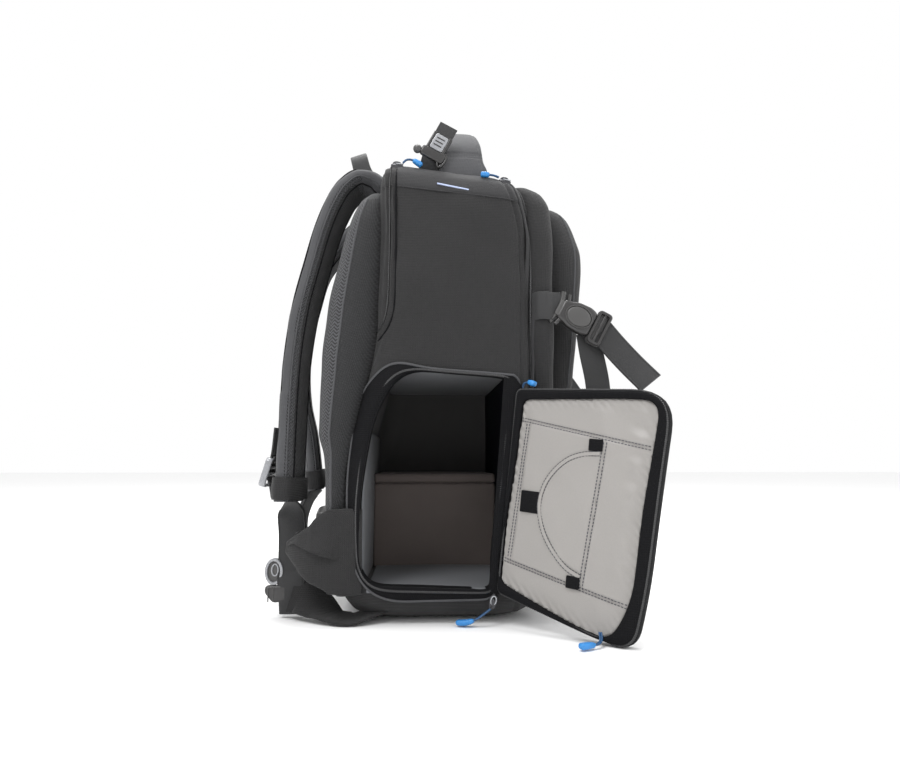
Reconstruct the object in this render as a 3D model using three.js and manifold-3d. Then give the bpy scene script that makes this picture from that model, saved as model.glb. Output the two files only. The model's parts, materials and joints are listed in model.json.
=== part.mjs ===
// Camera backpack with a side door, standing open. Millimetres, +Z up, origin at the middle of the base.
// The wearer's side faces +Y, the front pocket faces -Y, and the open door is on the -X side.
import * as THREE from 'three';
import { mergeVertices } from 'three/addons/utils/BufferGeometryUtils.js';
import Module from 'manifold-3d';

const wasm = await Module();
wasm.setup();

// Clearance between pieces that touch
const seat = 0.3;

// Main body
const bodyHeight = 464;
const bodyWidth = 290;
const bodyDepth = 200;
const bodyCorner = 34;
const bodyWall = 8;
const bayFloor = 32;

// Side opening and camera bay
const openingHeight = 212;
const openingMargin = 43;
const openingRearMargin = 13;
const openingSill = 34;
const ceilingThickness = 10;
const dividerThickness = 11;
const shelfHeight = 130;
const dividerPlace = 8;
const bayWall = 10;
const bayWallInset = 4;
const rearWallTop = 188;

// Back panel: its padding beyond the body, and how far its ends stop short of the body's
const backPadding = 30;
const backNarrowing = 18;
const backCorner = 40;
const backDrop = 27;
const backBottom = 24;

// Front organiser and outer pocket
const panelDepth = 8;
const panelNarrowing = 22;
const panelCorner = 22;
const panelDrop = 17;
const panelBottom = 14;
const pocketDepth = 36;
const pocketNarrowing = 50;
const pocketCorner = 26;
const pocketDrop = 13;
const pocketBottom = 34;
const pocketWall = 5;

// Door flap
const doorLap = 10;
const hingeShortening = 14;
const doorThickness = 12;
const doorEdge = 4;
const doorAngle = 142;
const hingeStandoff = 2;
const hingeInset = 14;
const hingeLean = 6.1;

// Handle, hang loop and top lock
const handleArch = 64;
const handleNarrowing = 58;
const handleWidth = 46;
const handleThickness = 10;
const handlePlace = -15;
const loopWebbing = 20;
const loopThickness = 2.5;
const loopHalfSpan = 23;
const loopArch = 59;
const topWebbing = 20;
const topWebInset = 24.5;
const topLockLength = 30;
const topLockThickness = 6;

// Shoulder straps
const strapWidth = 62;
const strapThickness = 20;
const strapStand = 32;
const strapInset = 53;
const strapArch = 2;
const strapTwist = 0.1;
const farBow = 28;
const farLift = 6;
const farWebOut = 22;
const bandRise = 2;
const bandHeight = 22;
const bandWall = 3;
const strapLockWidth = 32;
const strapLockLength = 30;
const strapLockThickness = 7;
const lockTilt = 0.28;
const tailBow = 6;

// Lower harness
const strapFall = 0.247;
const webbing = 28;
const webbingThickness = 4;
const lowerWebInset = 50;
const foldThickness = 9;
const foldTop = 46;
const foldBottom = 4;
const webStartTurn = 0.5;
const catchRise = 14.6;
const tabRun = 94;
const tabHeight = 40;
const webLockWidth = 18;
const webLockLength = 26;
const tabWidth = 44;
const wingStand = 27;
const wingHeight = 80;
const wingThickness = 6;
const beltHeight = 70;
const beltWebbing = 30;
const beltBuckleLength = 62;
const beltBuckleHeight = 42;
const beltBuckleThickness = 13;

// Side compression straps
const sideWebbing = 25;
const sideThickness = 2.5;
const sideStrapHeight = 312;
const socketLength = 41;
const socketWidth = 34;
const socketThickness = 12;
const plugLength = 15;
const plugWidth = 36;
const plugCorner = 3;
const sideDrop = 28;
const socketInset = 2;
const socketStandoff = 1;
const plugThickness = 9;
const sideTailLength = 72;
const sideTailFlare = 16;
const sideTailDrop = 51.5;

// Zip pulls
const pullThickness = 6;
const cordThickness = 3.4;
const sliderLength = 13;

// Sizes that follow from the ones above
const halfBody = bodyWidth / 2;
const nearSide = -halfBody;
const openingFront = openingMargin - bodyDepth / 2;
const openingLength = bodyDepth - openingMargin - openingRearMargin;
const backReach = bodyDepth / 2 + backPadding;
const backWidth = bodyWidth - backNarrowing;
const backTop = bodyHeight - backDrop;
const panelReach = bodyDepth / 2 + panelDepth;
const panelWidth = bodyWidth - panelNarrowing;
const panelTop = bodyHeight - panelDrop;
const pocketReach = panelReach + pocketDepth;
const pocketWidth = panelWidth - pocketNarrowing;
const pocketTop = panelTop - pocketDrop;
const ceilingHeight = openingSill + openingHeight;
const rearWallPlace = openingFront + openingLength - bayWallInset;
const frontWallPlace = openingFront - bayWallInset;
const doorWidth = openingLength + doorLap;
const hingeLength = openingHeight - hingeShortening;
const handleRise = bodyHeight + handleArch;
const handleSpan = bodyWidth - handleNarrowing;
const loopTop = bodyHeight + loopArch;
const topWebPlace = topWebInset - halfBody;
const strapReach = backReach + strapStand;
const strapSpread = halfBody - strapInset;
const lowerWebPlace = halfBody - lowerWebInset;
const strapTop = bodyHeight + strapArch;
const wingReach = backReach + wingStand;
const socketPlace = panelWidth / 2 - socketInset;
const socketFront = panelReach + socketStandoff;

const materials = {
  fabric: new THREE.MeshStandardMaterial({ color: 0x2e2f33, roughness: 0.86, metalness: 0 }),
  mesh: new THREE.MeshStandardMaterial({ color: 0x27282b, roughness: 0.92, metalness: 0 }),
  webbing: new THREE.MeshStandardMaterial({ color: 0x232427, roughness: 0.8, metalness: 0 }),
  lining: new THREE.MeshStandardMaterial({ color: 0x6d6a68, roughness: 0.85, metalness: 0 }),
  doorLining: new THREE.MeshStandardMaterial({ color: 0xb9b6b0, roughness: 0.7, metalness: 0 }),
  darkPlastic: new THREE.MeshStandardMaterial({ color: 0x1c1d1f, roughness: 0.4, metalness: 0 }),
  greyPlastic: new THREE.MeshStandardMaterial({ color: 0x8d9094, roughness: 0.35, metalness: 0.2 }),
  bluePull: new THREE.MeshStandardMaterial({ color: 0x2f86d6, roughness: 0.5, metalness: 0 }),
  slider: new THREE.MeshStandardMaterial({ color: 0x2a2b2e, roughness: 0.35, metalness: 0.7 }),
};

const group = new THREE.Group();

const vec = (x, y, z) => new THREE.Vector3(x, y, z);
const alongX = vec(1, 0, 0);
const alongY = vec(0, 1, 0);
const alongZ = vec(0, 0, 1);
const mix = (a, b, t) => a + (b - a) * t;

function ovalOutline(width, length, count = 14) {
  return Array.from({ length: count }, (unused, i) => {
    const turn = i / count * Math.PI * 2;
    return { x: Math.cos(turn) * width / 2, y: Math.sin(turn) * length / 2 };
  });
}

// Adds a named piece to the bag.
function addPiece(name, geometry, material) {
  const piece = new THREE.Mesh(geometry, material);
  piece.name = name;
  group.add(piece);
  return piece;
}

// Closes a stack of equal rings into one skin. Rings run anticlockwise seen from the last one.
function skinRings(rings) {
  const count = rings[0].length;
  const positions = rings.flat().flatMap((p) => [p.x, p.y, p.z]);
  const faces = [];
  for (let i = 0; i + 1 < rings.length; i += 1) {
    for (let j = 0; j < count; j += 1) {
      const k = (j + 1) % count;
      const [a, b, c, d] = [i * count + j, i * count + k, (i + 1) * count + k, (i + 1) * count + j];
      faces.push(a, b, c, a, c, d);
    }
  }
  const last = rings.length - 1;
  for (const [ring, flip] of [[0, true], [last, false]]) {
    const centre = positions.length / 3;
    const middle = rings[ring].reduce((sum, p) => sum.add(p), vec(0, 0, 0)).divideScalar(count);
    positions.push(middle.x, middle.y, middle.z);
    for (let j = 0; j < count; j += 1) {
      const [a, b] = [ring * count + j, ring * count + ((j + 1) % count)];
      faces.push(...(flip ? [centre, b, a] : [centre, a, b]));
    }
  }
  const geometry = new THREE.BufferGeometry();
  geometry.setAttribute('position', new THREE.Float32BufferAttribute(positions, 3));
  geometry.setIndex(faces);
  return geometry;
}

// Turns a closed geometry into a solid for cutting and joining.
function toSolid(geometry) {
  const bare = geometry.clone();
  bare.deleteAttribute('normal');
  bare.deleteAttribute('uv');
  const merged = mergeVertices(bare);
  return new wasm.Manifold(new wasm.Mesh({
    numProp: 3,
    vertProperties: new Float32Array(merged.attributes.position.array),
    triVerts: new Uint32Array(merged.index.array),
  }));
}

function fromSolid(solid) {
  const mesh = solid.getMesh();
  const geometry = new THREE.BufferGeometry();
  geometry.setAttribute('position', new THREE.BufferAttribute(new Float32Array(mesh.vertProperties), 3));
  geometry.setIndex(new THREE.BufferAttribute(new Uint32Array(mesh.triVerts), 1));
  return geometry;
}

function trim(geometry, ...cutters) {
  return fromSolid(cutters.reduce((solid, cutter) => solid.subtract(cutter), toSolid(geometry)));
}

function block(low, high) {
  const size = high.clone().sub(low);
  const geometry = new THREE.BoxGeometry(size.x, size.y, size.z);
  const middle = low.clone().add(high).divideScalar(2);
  return geometry.translate(middle.x, middle.y, middle.z);
}

// One anticlockwise rounded rectangle at a height, which may drop towards the front.
function planRing({ back, front, half, corner, height, slope = 0, steps = 4 }) {
  const radius = Math.min(corner, half * 0.98, (back - front) * 0.49);
  const corners = [
    [half - radius, back - radius, 0],
    [radius - half, back - radius, 1],
    [radius - half, front + radius, 2],
    [half - radius, front + radius, 3],
  ];
  return corners.flatMap(([x, y, quarter]) => Array.from({ length: steps + 1 }, (unused, i) => {
    const turn = (quarter + i / steps) * Math.PI / 2;
    const place = y + radius * Math.sin(turn);
    return vec(x + radius * Math.cos(turn), place, height + slope * place);
  }));
}

// Reads a table of rows at any place along it.
function readTable(table, at) {
  const next = Math.max(1, table.findIndex((row) => row.at >= at));
  const end = next < 0 || at > table[table.length - 1].at ? table.length - 1 : next;
  const [a, b] = [table[end - 1], table[end]];
  const t = THREE.MathUtils.clamp((at - a.at) / (b.at - a.at), 0, 1);
  return Object.fromEntries(Object.keys(a).map((key) => [key, mix(a[key], b[key], t)]));
}

// Body sections: height, back and front as shares of the depth, half as a share of half the width
const bodySections = [
  { at: 0.000, back: 0.460, front: -0.390, half: 0.640, corner: 1.5, slope: 0 },
  { at: 0.010, back: 0.480, front: -0.410, half: 0.772, corner: 1.4, slope: 0 },
  { at: 0.026, back: 0.497, front: -0.428, half: 0.866, corner: 1.3, slope: 0 },
  { at: 0.054, back: 0.520, front: -0.442, half: 0.945, corner: 1.1, slope: 0 },
  { at: 0.100, back: 0.532, front: -0.455, half: 0.988, corner: 1.0, slope: 0 },
  { at: 0.280, back: 0.530, front: -0.450, half: 1.000, corner: 1.0, slope: 0 },
  { at: 0.431, back: 0.465, front: -0.440, half: 1.000, corner: 1.0, slope: 0 },
  { at: 0.539, back: 0.400, front: -0.435, half: 0.995, corner: 1.0, slope: 0 },
  { at: 0.625, back: 0.370, front: -0.432, half: 0.990, corner: 1.0, slope: 0 },
  { at: 0.776, back: 0.365, front: -0.425, half: 0.985, corner: 1.0, slope: 0.01 },
  { at: 0.880, back: 0.362, front: -0.412, half: 0.974, corner: 0.85, slope: 0.05 },
  { at: 0.925, back: 0.358, front: -0.395, half: 0.957, corner: 0.75, slope: 0.08 },
  { at: 0.957, back: 0.350, front: -0.366, half: 0.925, corner: 0.65, slope: 0.1 },
  { at: 0.977, back: 0.330, front: -0.325, half: 0.868, corner: 0.6, slope: 0.115 },
  { at: 0.990, back: 0.295, front: -0.275, half: 0.790, corner: 0.6, slope: 0.115 },
  { at: 1.000, back: 0.240, front: -0.205, half: 0.670, corner: 0.6, slope: 0.115 },
];

const edgeShare = 0.1;

// Ring of the body at a row, grown outwards by a clearance or shrunk by a wall.
function bodyRing(row, grow = 0, drop = 0) {
  const spread = row.at < edgeShare ? -grow : row.at > 1 - edgeShare ? grow : 0;
  return planRing({
    back: row.back * bodyDepth + grow,
    front: row.front * bodyDepth - grow,
    half: row.half * bodyWidth / 2 + grow,
    corner: row.corner * bodyCorner + grow,
    height: row.at * bodyHeight + spread - drop,
    slope: row.slope,
  });
}

function bodyForm(grow) {
  return toSolid(skinRings(bodySections.map((row) => bodyRing(row, grow))));
}

// Hollow of the body, from the bay floor to one wall under the top.
function cavityForm(shrink) {
  const floorRow = readTable(bodySections, (bayFloor + shrink + bodyWall) / bodyHeight);
  const rows = [floorRow, ...bodySections.filter((row) => row.at > floorRow.at)];
  return toSolid(skinRings(rows.map((row) => planRing({
    back: row.back * bodyDepth - bodyWall - shrink,
    front: row.front * bodyDepth + bodyWall + shrink,
    half: row.half * bodyWidth / 2 - bodyWall - shrink,
    corner: row.corner * bodyCorner - bodyWall,
    height: row.at * bodyHeight - bodyWall - (row.at > 1 - edgeShare ? shrink : 0),
    slope: row.slope,
  }))));
}

// Rounds the corners of an outline of points with radii.
function roundOutline(points, steps = 4) {
  const outline = [];
  points.forEach((point, i) => {
    const before = points[(i + points.length - 1) % points.length];
    const after = points[(i + 1) % points.length];
    const here = new THREE.Vector2(point.x, point.y);
    const toBefore = new THREE.Vector2(before.x, before.y).sub(here);
    const toAfter = new THREE.Vector2(after.x, after.y).sub(here);
    const reach = Math.min(point.radius, toBefore.length() * 0.48, toAfter.length() * 0.48);
    const from = here.clone().addScaledVector(toBefore.normalize(), reach);
    const to = here.clone().addScaledVector(toAfter.normalize(), reach);
    const bend = new THREE.QuadraticBezierCurve(from, here, to);
    outline.push(...bend.getPoints(steps));
  });
  return outline;
}

// Side opening: y as a share of its length from the front edge, z as a share of its height
const openingCorners = [
  { y: 0.000, z: 0.960, radius: 0.03 },
  { y: 0.120, z: 0.120, radius: 0.10 },
  { y: 0.120, z: 0.000, radius: 0.03 },
  { y: 0.990, z: 0.022, radius: 0.12 },
  { y: 1.000, z: 0.420, radius: 0.34 },
  { y: 0.905, z: 0.800, radius: 0.22 },
  { y: 0.720, z: 1.000, radius: 0.22 },
];

const openingPoints = roundOutline(openingCorners.map((corner) => ({
  x: openingFront + corner.y * openingLength,
  y: openingSill + corner.z * openingHeight,
  radius: corner.radius * openingHeight,
})));

function openingForm() {
  const depths = [nearSide - bodyWall, nearSide + bodyWall * 3];
  return toSolid(skinRings(depths.map((x) => openingPoints.map((p) => vec(x, p.x, p.y)))));
}

const body = bodyForm(0);
const bodySeat = bodyForm(seat);
addPiece('bag_shell', fromSolid(body.subtract(cavityForm(0)).subtract(openingForm())), materials.fabric);

// Padded walls and dividers of the camera bay, each cut to the body's hollow
const bayInside = cavityForm(seat);

function bayPiece(name, low, high) {
  addPiece(name, fromSolid(toSolid(block(low, high)).intersect(bayInside)), materials.lining);
}

const shelfFront = frontWallPlace + seat;
const shelfRear = rearWallPlace - seat;
bayPiece('bay_ceiling', vec(nearSide, -bodyDepth, ceilingHeight),
  vec(halfBody, bodyDepth, ceilingHeight + ceilingThickness));
bayPiece('bay_front_wall', vec(nearSide, frontWallPlace - bayWall, 0),
  vec(halfBody, frontWallPlace, ceilingHeight - seat));
bayPiece('bay_rear_wall', vec(nearSide, rearWallPlace, 0),
  vec(halfBody, rearWallPlace + bayWall, rearWallTop));
bayPiece('bay_shelf', vec(dividerPlace, shelfFront, shelfHeight),
  vec(halfBody, shelfRear, shelfHeight + dividerThickness));
bayPiece('bay_divider', vec(dividerPlace, shelfFront, 0),
  vec(dividerPlace + dividerThickness, shelfRear, shelfHeight - seat));

// Layers on the back and the front: reach and width at shares of the height between their ends
const backSections = [
  { at: 0.000, reach: 0.840, half: 0.900 },
  { at: 0.030, reach: 0.885, half: 0.960 },
  { at: 0.200, reach: 0.925, half: 1.000 },
  { at: 0.330, reach: 0.950, half: 1.000 },
  { at: 0.390, reach: 0.998, half: 1.000 },
  { at: 0.560, reach: 1.000, half: 1.000 },
  { at: 0.670, reach: 0.966, half: 0.995 },
  { at: 0.790, reach: 0.890, half: 0.985 },
  { at: 0.900, reach: 0.808, half: 0.960 },
  { at: 0.970, reach: 0.715, half: 0.900 },
  { at: 1.000, reach: 0.630, half: 0.820 },
];
const panelSections = [
  { at: 0.000, reach: 0.880, half: 0.860 },
  { at: 0.035, reach: 0.930, half: 0.950 },
  { at: 0.120, reach: 0.965, half: 1.000 },
  { at: 0.600, reach: 0.990, half: 1.000 },
  { at: 0.850, reach: 1.000, half: 0.985 },
  { at: 0.935, reach: 0.985, half: 0.945 },
  { at: 0.975, reach: 0.920, half: 0.890 },
  { at: 1.000, reach: 0.790, half: 0.810 },
];
const pocketSections = [
  { at: 0.000, reach: 0.790, half: 0.880 },
  { at: 0.040, reach: 0.845, half: 0.960 },
  { at: 0.130, reach: 0.870, half: 1.000 },
  { at: 0.500, reach: 0.905, half: 1.000 },
  { at: 0.620, reach: 0.958, half: 1.000 },
  { at: 0.780, reach: 0.995, half: 0.990 },
  { at: 0.860, reach: 1.000, half: 0.975 },
  { at: 0.910, reach: 0.970, half: 0.950 },
  { at: 0.955, reach: 0.922, half: 0.900 },
  { at: 0.985, reach: 0.850, half: 0.830 },
  { at: 1.000, reach: 0.770, half: 0.740 },
];

const layerRoot = 0.5;

// A layer's outer form, from inside the body out to its reach. Side is 1 at the back, -1 at the front.
function layerForm({ table, side, reach, width, corner, top, bottom }, grow = 0) {
  return toSolid(skinRings(table.map((row) => {
    const outer = side * (row.reach * reach + grow);
    const spread = row.at < edgeShare ? -grow : row.at > 1 - edgeShare ? grow : 0;
    return planRing({
      back: side > 0 ? outer : -reach * layerRoot,
      front: side > 0 ? reach * layerRoot : outer,
      half: row.half * width / 2 + grow,
      corner: corner + grow,
      height: mix(bottom, top, row.at) + spread,
    });
  })));
}

const backLayer = {
  table: backSections, side: 1, reach: backReach, width: backWidth, corner: backCorner,
  top: backTop, bottom: backBottom,
};
const panelLayer = {
  table: panelSections, side: -1, reach: panelReach, width: panelWidth, corner: panelCorner,
  top: panelTop, bottom: panelBottom,
};
const pocketLayer = {
  table: pocketSections, side: -1, reach: pocketReach, width: pocketWidth, corner: pocketCorner,
  top: pocketTop, bottom: pocketBottom,
};
const backSeat = layerForm(backLayer, seat);
const panelSeat = layerForm(panelLayer, seat);
const pocketSeat = layerForm(pocketLayer, seat);
addPiece('back_pad', fromSolid(layerForm(backLayer).subtract(bodySeat)), materials.mesh);
addPiece('front_panel', fromSolid(layerForm(panelLayer).subtract(bodySeat)), materials.fabric);
addPiece('front_pocket', fromSolid(
  layerForm(pocketLayer).subtract(layerForm(pocketLayer, -pocketWall)).subtract(panelSeat).subtract(bodySeat),
), materials.fabric);

// Door flap, turned open about its hinge line on the near side
const lean = THREE.MathUtils.degToRad(hingeLean);
const swing = THREE.MathUtils.degToRad(doorAngle);
const hingeBottom = vec(nearSide - hingeStandoff, openingFront + hingeInset, openingSill - hingeStandoff);
const doorUp = vec(0, -Math.sin(lean), Math.cos(lean));
const closedOut = vec(0, Math.cos(lean), Math.sin(lean));
const doorOut = closedOut.clone().multiplyScalar(Math.cos(swing)).addScaledVector(alongX, -Math.sin(swing));
const doorFace = doorOut.clone().cross(doorUp);

function doorPoint(out, up, proud) {
  return hingeBottom.clone().addScaledVector(doorOut, out).addScaledVector(doorUp, up)
    .addScaledVector(doorFace, proud);
}

// Door outline: out as a share of the door width, up as a share of the hinge length
const doorCorners = [
  { out: 0.010, up: 0.000, radius: 0.03 },
  { out: 0.640, up: -0.090, radius: 0.14 },
  { out: 0.890, up: -0.116, radius: 0.17 },
  { out: 0.940, up: 0.150, radius: 0.20 },
  { out: 0.975, up: 0.620, radius: 0.12 },
  { out: 1.010, up: 1.005, radius: 0.25 },
  { out: 0.010, up: 0.990, radius: 0.03 },
];
const doorOutline = roundOutline(doorCorners.map((corner) => ({
  x: corner.out * doorWidth,
  y: corner.up * hingeLength,
  radius: corner.radius * hingeLength,
})));
const doorMiddle = new THREE.Vector2(doorWidth / 2, hingeLength / 2);
const edgeInset = doorEdge * 2 / doorWidth;
const doorRings = [
  { proud: -doorThickness, inset: edgeInset },
  { proud: doorEdge - doorThickness, inset: 0 },
  { proud: -doorEdge, inset: 0 },
  { proud: 0, inset: edgeInset },
];
const doorSkin = skinRings(doorRings.map((ring) => doorOutline.map((p) => {
  const inner = p.clone().lerp(doorMiddle, ring.inset);
  return doorPoint(inner.x, inner.y, ring.proud);
})));
addPiece('side_door', trim(doorSkin, bodySeat), materials.doorLining);

// Sweeps a rounded flat section along a path. Each row gives a point, and may give its own width,
// thickness and direction across.
function sweep(rows, { width, thickness, across, corner = 0, samples = 3, bends = 1 }) {
  const path = new THREE.CatmullRomCurve3(rows.map((row) => row.point), false, 'centripetal');
  const last = rows.length - 1;
  const count = last * samples;
  const rings = Array.from({ length: count + 1 }, (unused, i) => {
    const t = i / count;
    const index = Math.min(Math.floor(t * last), last - 1);
    const [a, b] = [rows[index], rows[index + 1]];
    const part = t * last - index;
    const tangent = path.getTangent(t);
    const side = (a.across ?? across).clone().lerp(b.across ?? across, part);
    side.addScaledVector(tangent, -side.dot(tangent)).normalize();
    const up = tangent.clone().cross(side);
    const halfWidth = mix(a.width ?? width, b.width ?? width, part) / 2;
    const halfThick = mix(a.thickness ?? thickness, b.thickness ?? thickness, part) / 2;
    const centre = path.getPoint(t);
    const radius = Math.min(corner, halfThick * 0.98, halfWidth * 0.98);
    const ring = corner > 0
      ? planRing({ back: halfThick, front: -halfThick, half: halfWidth, corner: radius, height: 0, steps: bends })
      : [[1, 1], [-1, 1], [-1, -1], [1, -1]].map(([x, y]) => vec(x * halfWidth, y * halfThick, 0));
    return ring.map((p) => centre.clone().addScaledVector(side, p.x).addScaledVector(up, p.y));
  });
  return skinRings(rings);
}

// Handle over the top: x as a share of half its span, z of its rise above the base, width and y of its width
const handleRows = [
  { x: 1.000, z: 0.815, width: 1.00, y: 0.00 },
  { x: 0.965, z: 0.880, width: 1.00, y: 0.00 },
  { x: 0.860, z: 0.935, width: 0.86, y: -0.01 },
  { x: 0.660, z: 0.975, width: 0.62, y: -0.04 },
  { x: 0.340, z: 0.993, width: 0.52, y: -0.05 },
  { x: 0.000, z: 1.000, width: 0.50, y: -0.05 },
];
const handleHalf = handleRows.map((row) => ({ ...row, x: -row.x }));
const handlePath = [...handleHalf, ...handleRows.slice(0, -1).reverse()].map((row) => ({
  point: vec(row.x * handleSpan / 2, handlePlace + row.y * handleWidth, row.z * handleRise),
  width: row.width * handleWidth,
}));
const handleForm = (grow) => sweep(handlePath.map((row) => ({ ...row, width: row.width + grow * 2 })), {
  thickness: handleThickness + grow * 2, across: alongY, corner: handleThickness * 0.4 + grow, bends: 2,
});
const handleSeat = toSolid(handleForm(seat));
addPiece('top_handle', trim(handleForm(0), bodySeat), materials.fabric);

// Hang loop at the top of the back: x as a share of half its span, y of the body's depth, z of its top
const loopRows = [
  { x: 1.00, y: 0.310, z: 0.870 },
  { x: 1.00, y: 0.420, z: 0.915 },
  { x: 1.00, y: 0.485, z: 0.950 },
  { x: 0.86, y: 0.515, z: 0.985 },
  { x: 0.40, y: 0.525, z: 1.000 },
];
const loopSides = [...loopRows.map((row) => ({ ...row, x: -row.x })), ...[...loopRows].reverse()];
const loopSkin = sweep(loopSides.map((row) => ({
  point: vec(row.x * loopHalfSpan, row.y * bodyDepth, row.z * loopTop),
})), {
  width: loopWebbing, thickness: loopThickness, across: vec(0, 1, -0.35),
});
addPiece('hang_loop', trim(loopSkin, bodySeat), materials.webbing);

// A flat plate on a frame of two directions, from an outline that runs anticlockwise in them.
function plate(origin, along, across, outline, thickness, round = 0.15) {
  const normal = along.clone().cross(across).normalize();
  const layers = [[-0.5, 1 - round], [-0.5 + round, 1], [0.5 - round, 1], [0.5, 1 - round]];
  const middle = outline.reduce((sum, p) => sum.add(new THREE.Vector2(p.x, p.y)), new THREE.Vector2())
    .divideScalar(outline.length);
  return skinRings(layers.map(([lift, scale]) => outline.map((p) => {
    const x = mix(middle.x, p.x, scale);
    const y = mix(middle.y, p.y, scale);
    return origin.clone().addScaledVector(along, x).addScaledVector(across, y)
      .addScaledVector(normal, lift * thickness);
  })));
}

function rectangle(length, width, radius) {
  return roundOutline([
    { x: 0, y: -width / 2, radius }, { x: length, y: -width / 2, radius },
    { x: length, y: width / 2, radius }, { x: 0, y: width / 2, radius },
  ], 2);
}

// Webbing and ladder lock that lean against the handle's outer face: x as a share of its place,
// y of the handle's width, z of its rise
const topWebRows = [
  { x: 0.930, y: 0.84, z: 0.856 },
  { x: 0.930, y: 0.82, z: 0.868 },
  { x: 0.955, y: 0.77, z: 0.882 },
  { x: 1.000, y: 0.69, z: 0.902 },
  { x: 1.000, y: 0.50, z: 0.932 },
  { x: 1.000, y: 0.32, z: 0.961 },
];
const topWebPath = topWebRows.map((row) => ({
  point: vec(topWebPlace * row.x, handlePlace + row.y * handleWidth, row.z * handleRise),
}));
const topWebForm = (grow) => sweep(topWebPath, {
  width: topWebbing + grow * 2, thickness: loopThickness + grow * 2, across: alongY,
});
const topLockAlong = topWebPath[4].point.clone().sub(topWebPath[3].point).normalize();
const topLockAcross = topLockAlong.clone().cross(alongX).normalize();
addPiece('top_web', trim(topWebForm(0), bodySeat, handleSeat), materials.webbing);
addPiece('top_lock', trim(plate(
  topWebPath[3].point.clone().addScaledVector(topLockAlong, -topLockLength * 0.2), topLockAlong, topLockAcross,
  rectangle(topLockLength, topWebbing * 1.35, topLockThickness * 0.4), topLockThickness,
), toSolid(topWebForm(seat)), handleSeat), materials.greyPlastic);

// Shoulder strap: out as a share of its reach, z of its top, side of its spread, width of its own,
// bow of the far one's swing
const strapRows = [
  { out: 0.380, z: 0.960, side: 0.680, width: 0.90, bow: 0.0 },
  { out: 0.500, z: 0.994, side: 0.690, width: 0.92, bow: 0.0 },
  { out: 0.600, z: 0.993, side: 0.710, width: 0.95, bow: 0.0 },
  { out: 0.685, z: 0.965, side: 0.755, width: 0.98, bow: 0.2 },
  { out: 0.750, z: 0.920, side: 0.805, width: 1.00, bow: 0.5 },
  { out: 0.810, z: 0.858, side: 0.855, width: 1.02, bow: 0.9 },
  { out: 0.872, z: 0.770, side: 0.900, width: 1.02, bow: 1.0 },
  { out: 0.930, z: 0.681, side: 0.930, width: 1.02, bow: 1.0 },
  { out: 0.972, z: 0.572, side: 0.960, width: 1.00, bow: 0.9 },
  { out: 0.987, z: 0.481, side: 0.970, width: 1.00, bow: 0.7 },
  { out: 0.993, z: 0.394, side: 0.980, width: 1.00, bow: 0.35 },
  { out: 1.000, z: strapFall, side: 1.000, width: 0.98, bow: 0.0 },
];

// Catch outline: x as a share of its reach, y of its length, radius of its width
const catchCorners = [
  { x: 0.00, y: 0.08, radius: 0.16 },
  { x: 0.60, y: 0.00, radius: 0.22 },
  { x: 1.00, y: 0.40, radius: 0.33 },
  { x: 0.95, y: 0.66, radius: 0.16 },
  { x: 0.00, y: 0.66, radius: 0.16 },
];

// Tab rows: x as a share of the webbing's place, y of its run, z of its height, width of its own,
// and the tilt of its inner edge above the floor in degrees
const tabRows = [
  { x: 1.05, y: 0.00, z: 0.650, width: 0.92, tilt: 70 },
  { x: 1.06, y: 0.10, z: 0.600, width: 0.92, tilt: 66 },
  { x: 1.12, y: 0.30, z: 0.330, width: 0.92, tilt: 33 },
  { x: 1.18, y: 0.47, z: 0.110, width: 1.05, tilt: 4 },
  { x: 1.20, y: 0.65, z: 0.065, width: 1.20, tilt: 0 },
  { x: 1.14, y: 0.83, z: 0.165, width: 1.10, tilt: 0 },
  { x: 1.05, y: 1.00, z: 0.265, width: 0.90, tilt: 0 },
];

const harnessSides = [
  { name: 'near', side: -1, bow: 0, lift: 0, webOut: 0, turn: 1 },
  { name: 'far', side: 1, bow: farBow, lift: farLift, webOut: farWebOut, turn: 0.25 },
];

const shoulderWorks = harnessSides.map((harness) => {
  const { side } = harness;
  const across = vec(1, side * strapTwist, 0).normalize();
  const path = strapRows.map((row) => ({
    point: vec(side * row.side * strapSpread, row.out * strapReach + row.bow * harness.bow,
      row.z * strapTop + harness.lift * (1 - row.z)),
    width: row.width,
  }));
  const form = (grow) => sweep(path.map((row) => ({ point: row.point, width: row.width * strapWidth + grow * 2 })), {
    thickness: strapThickness + grow * 2, across, corner: strapThickness * 0.36 + grow, bends: 2, samples: 2,
  });
  const end = path[path.length - 1].point;
  return { ...harness, across, form, end };
});

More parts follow.
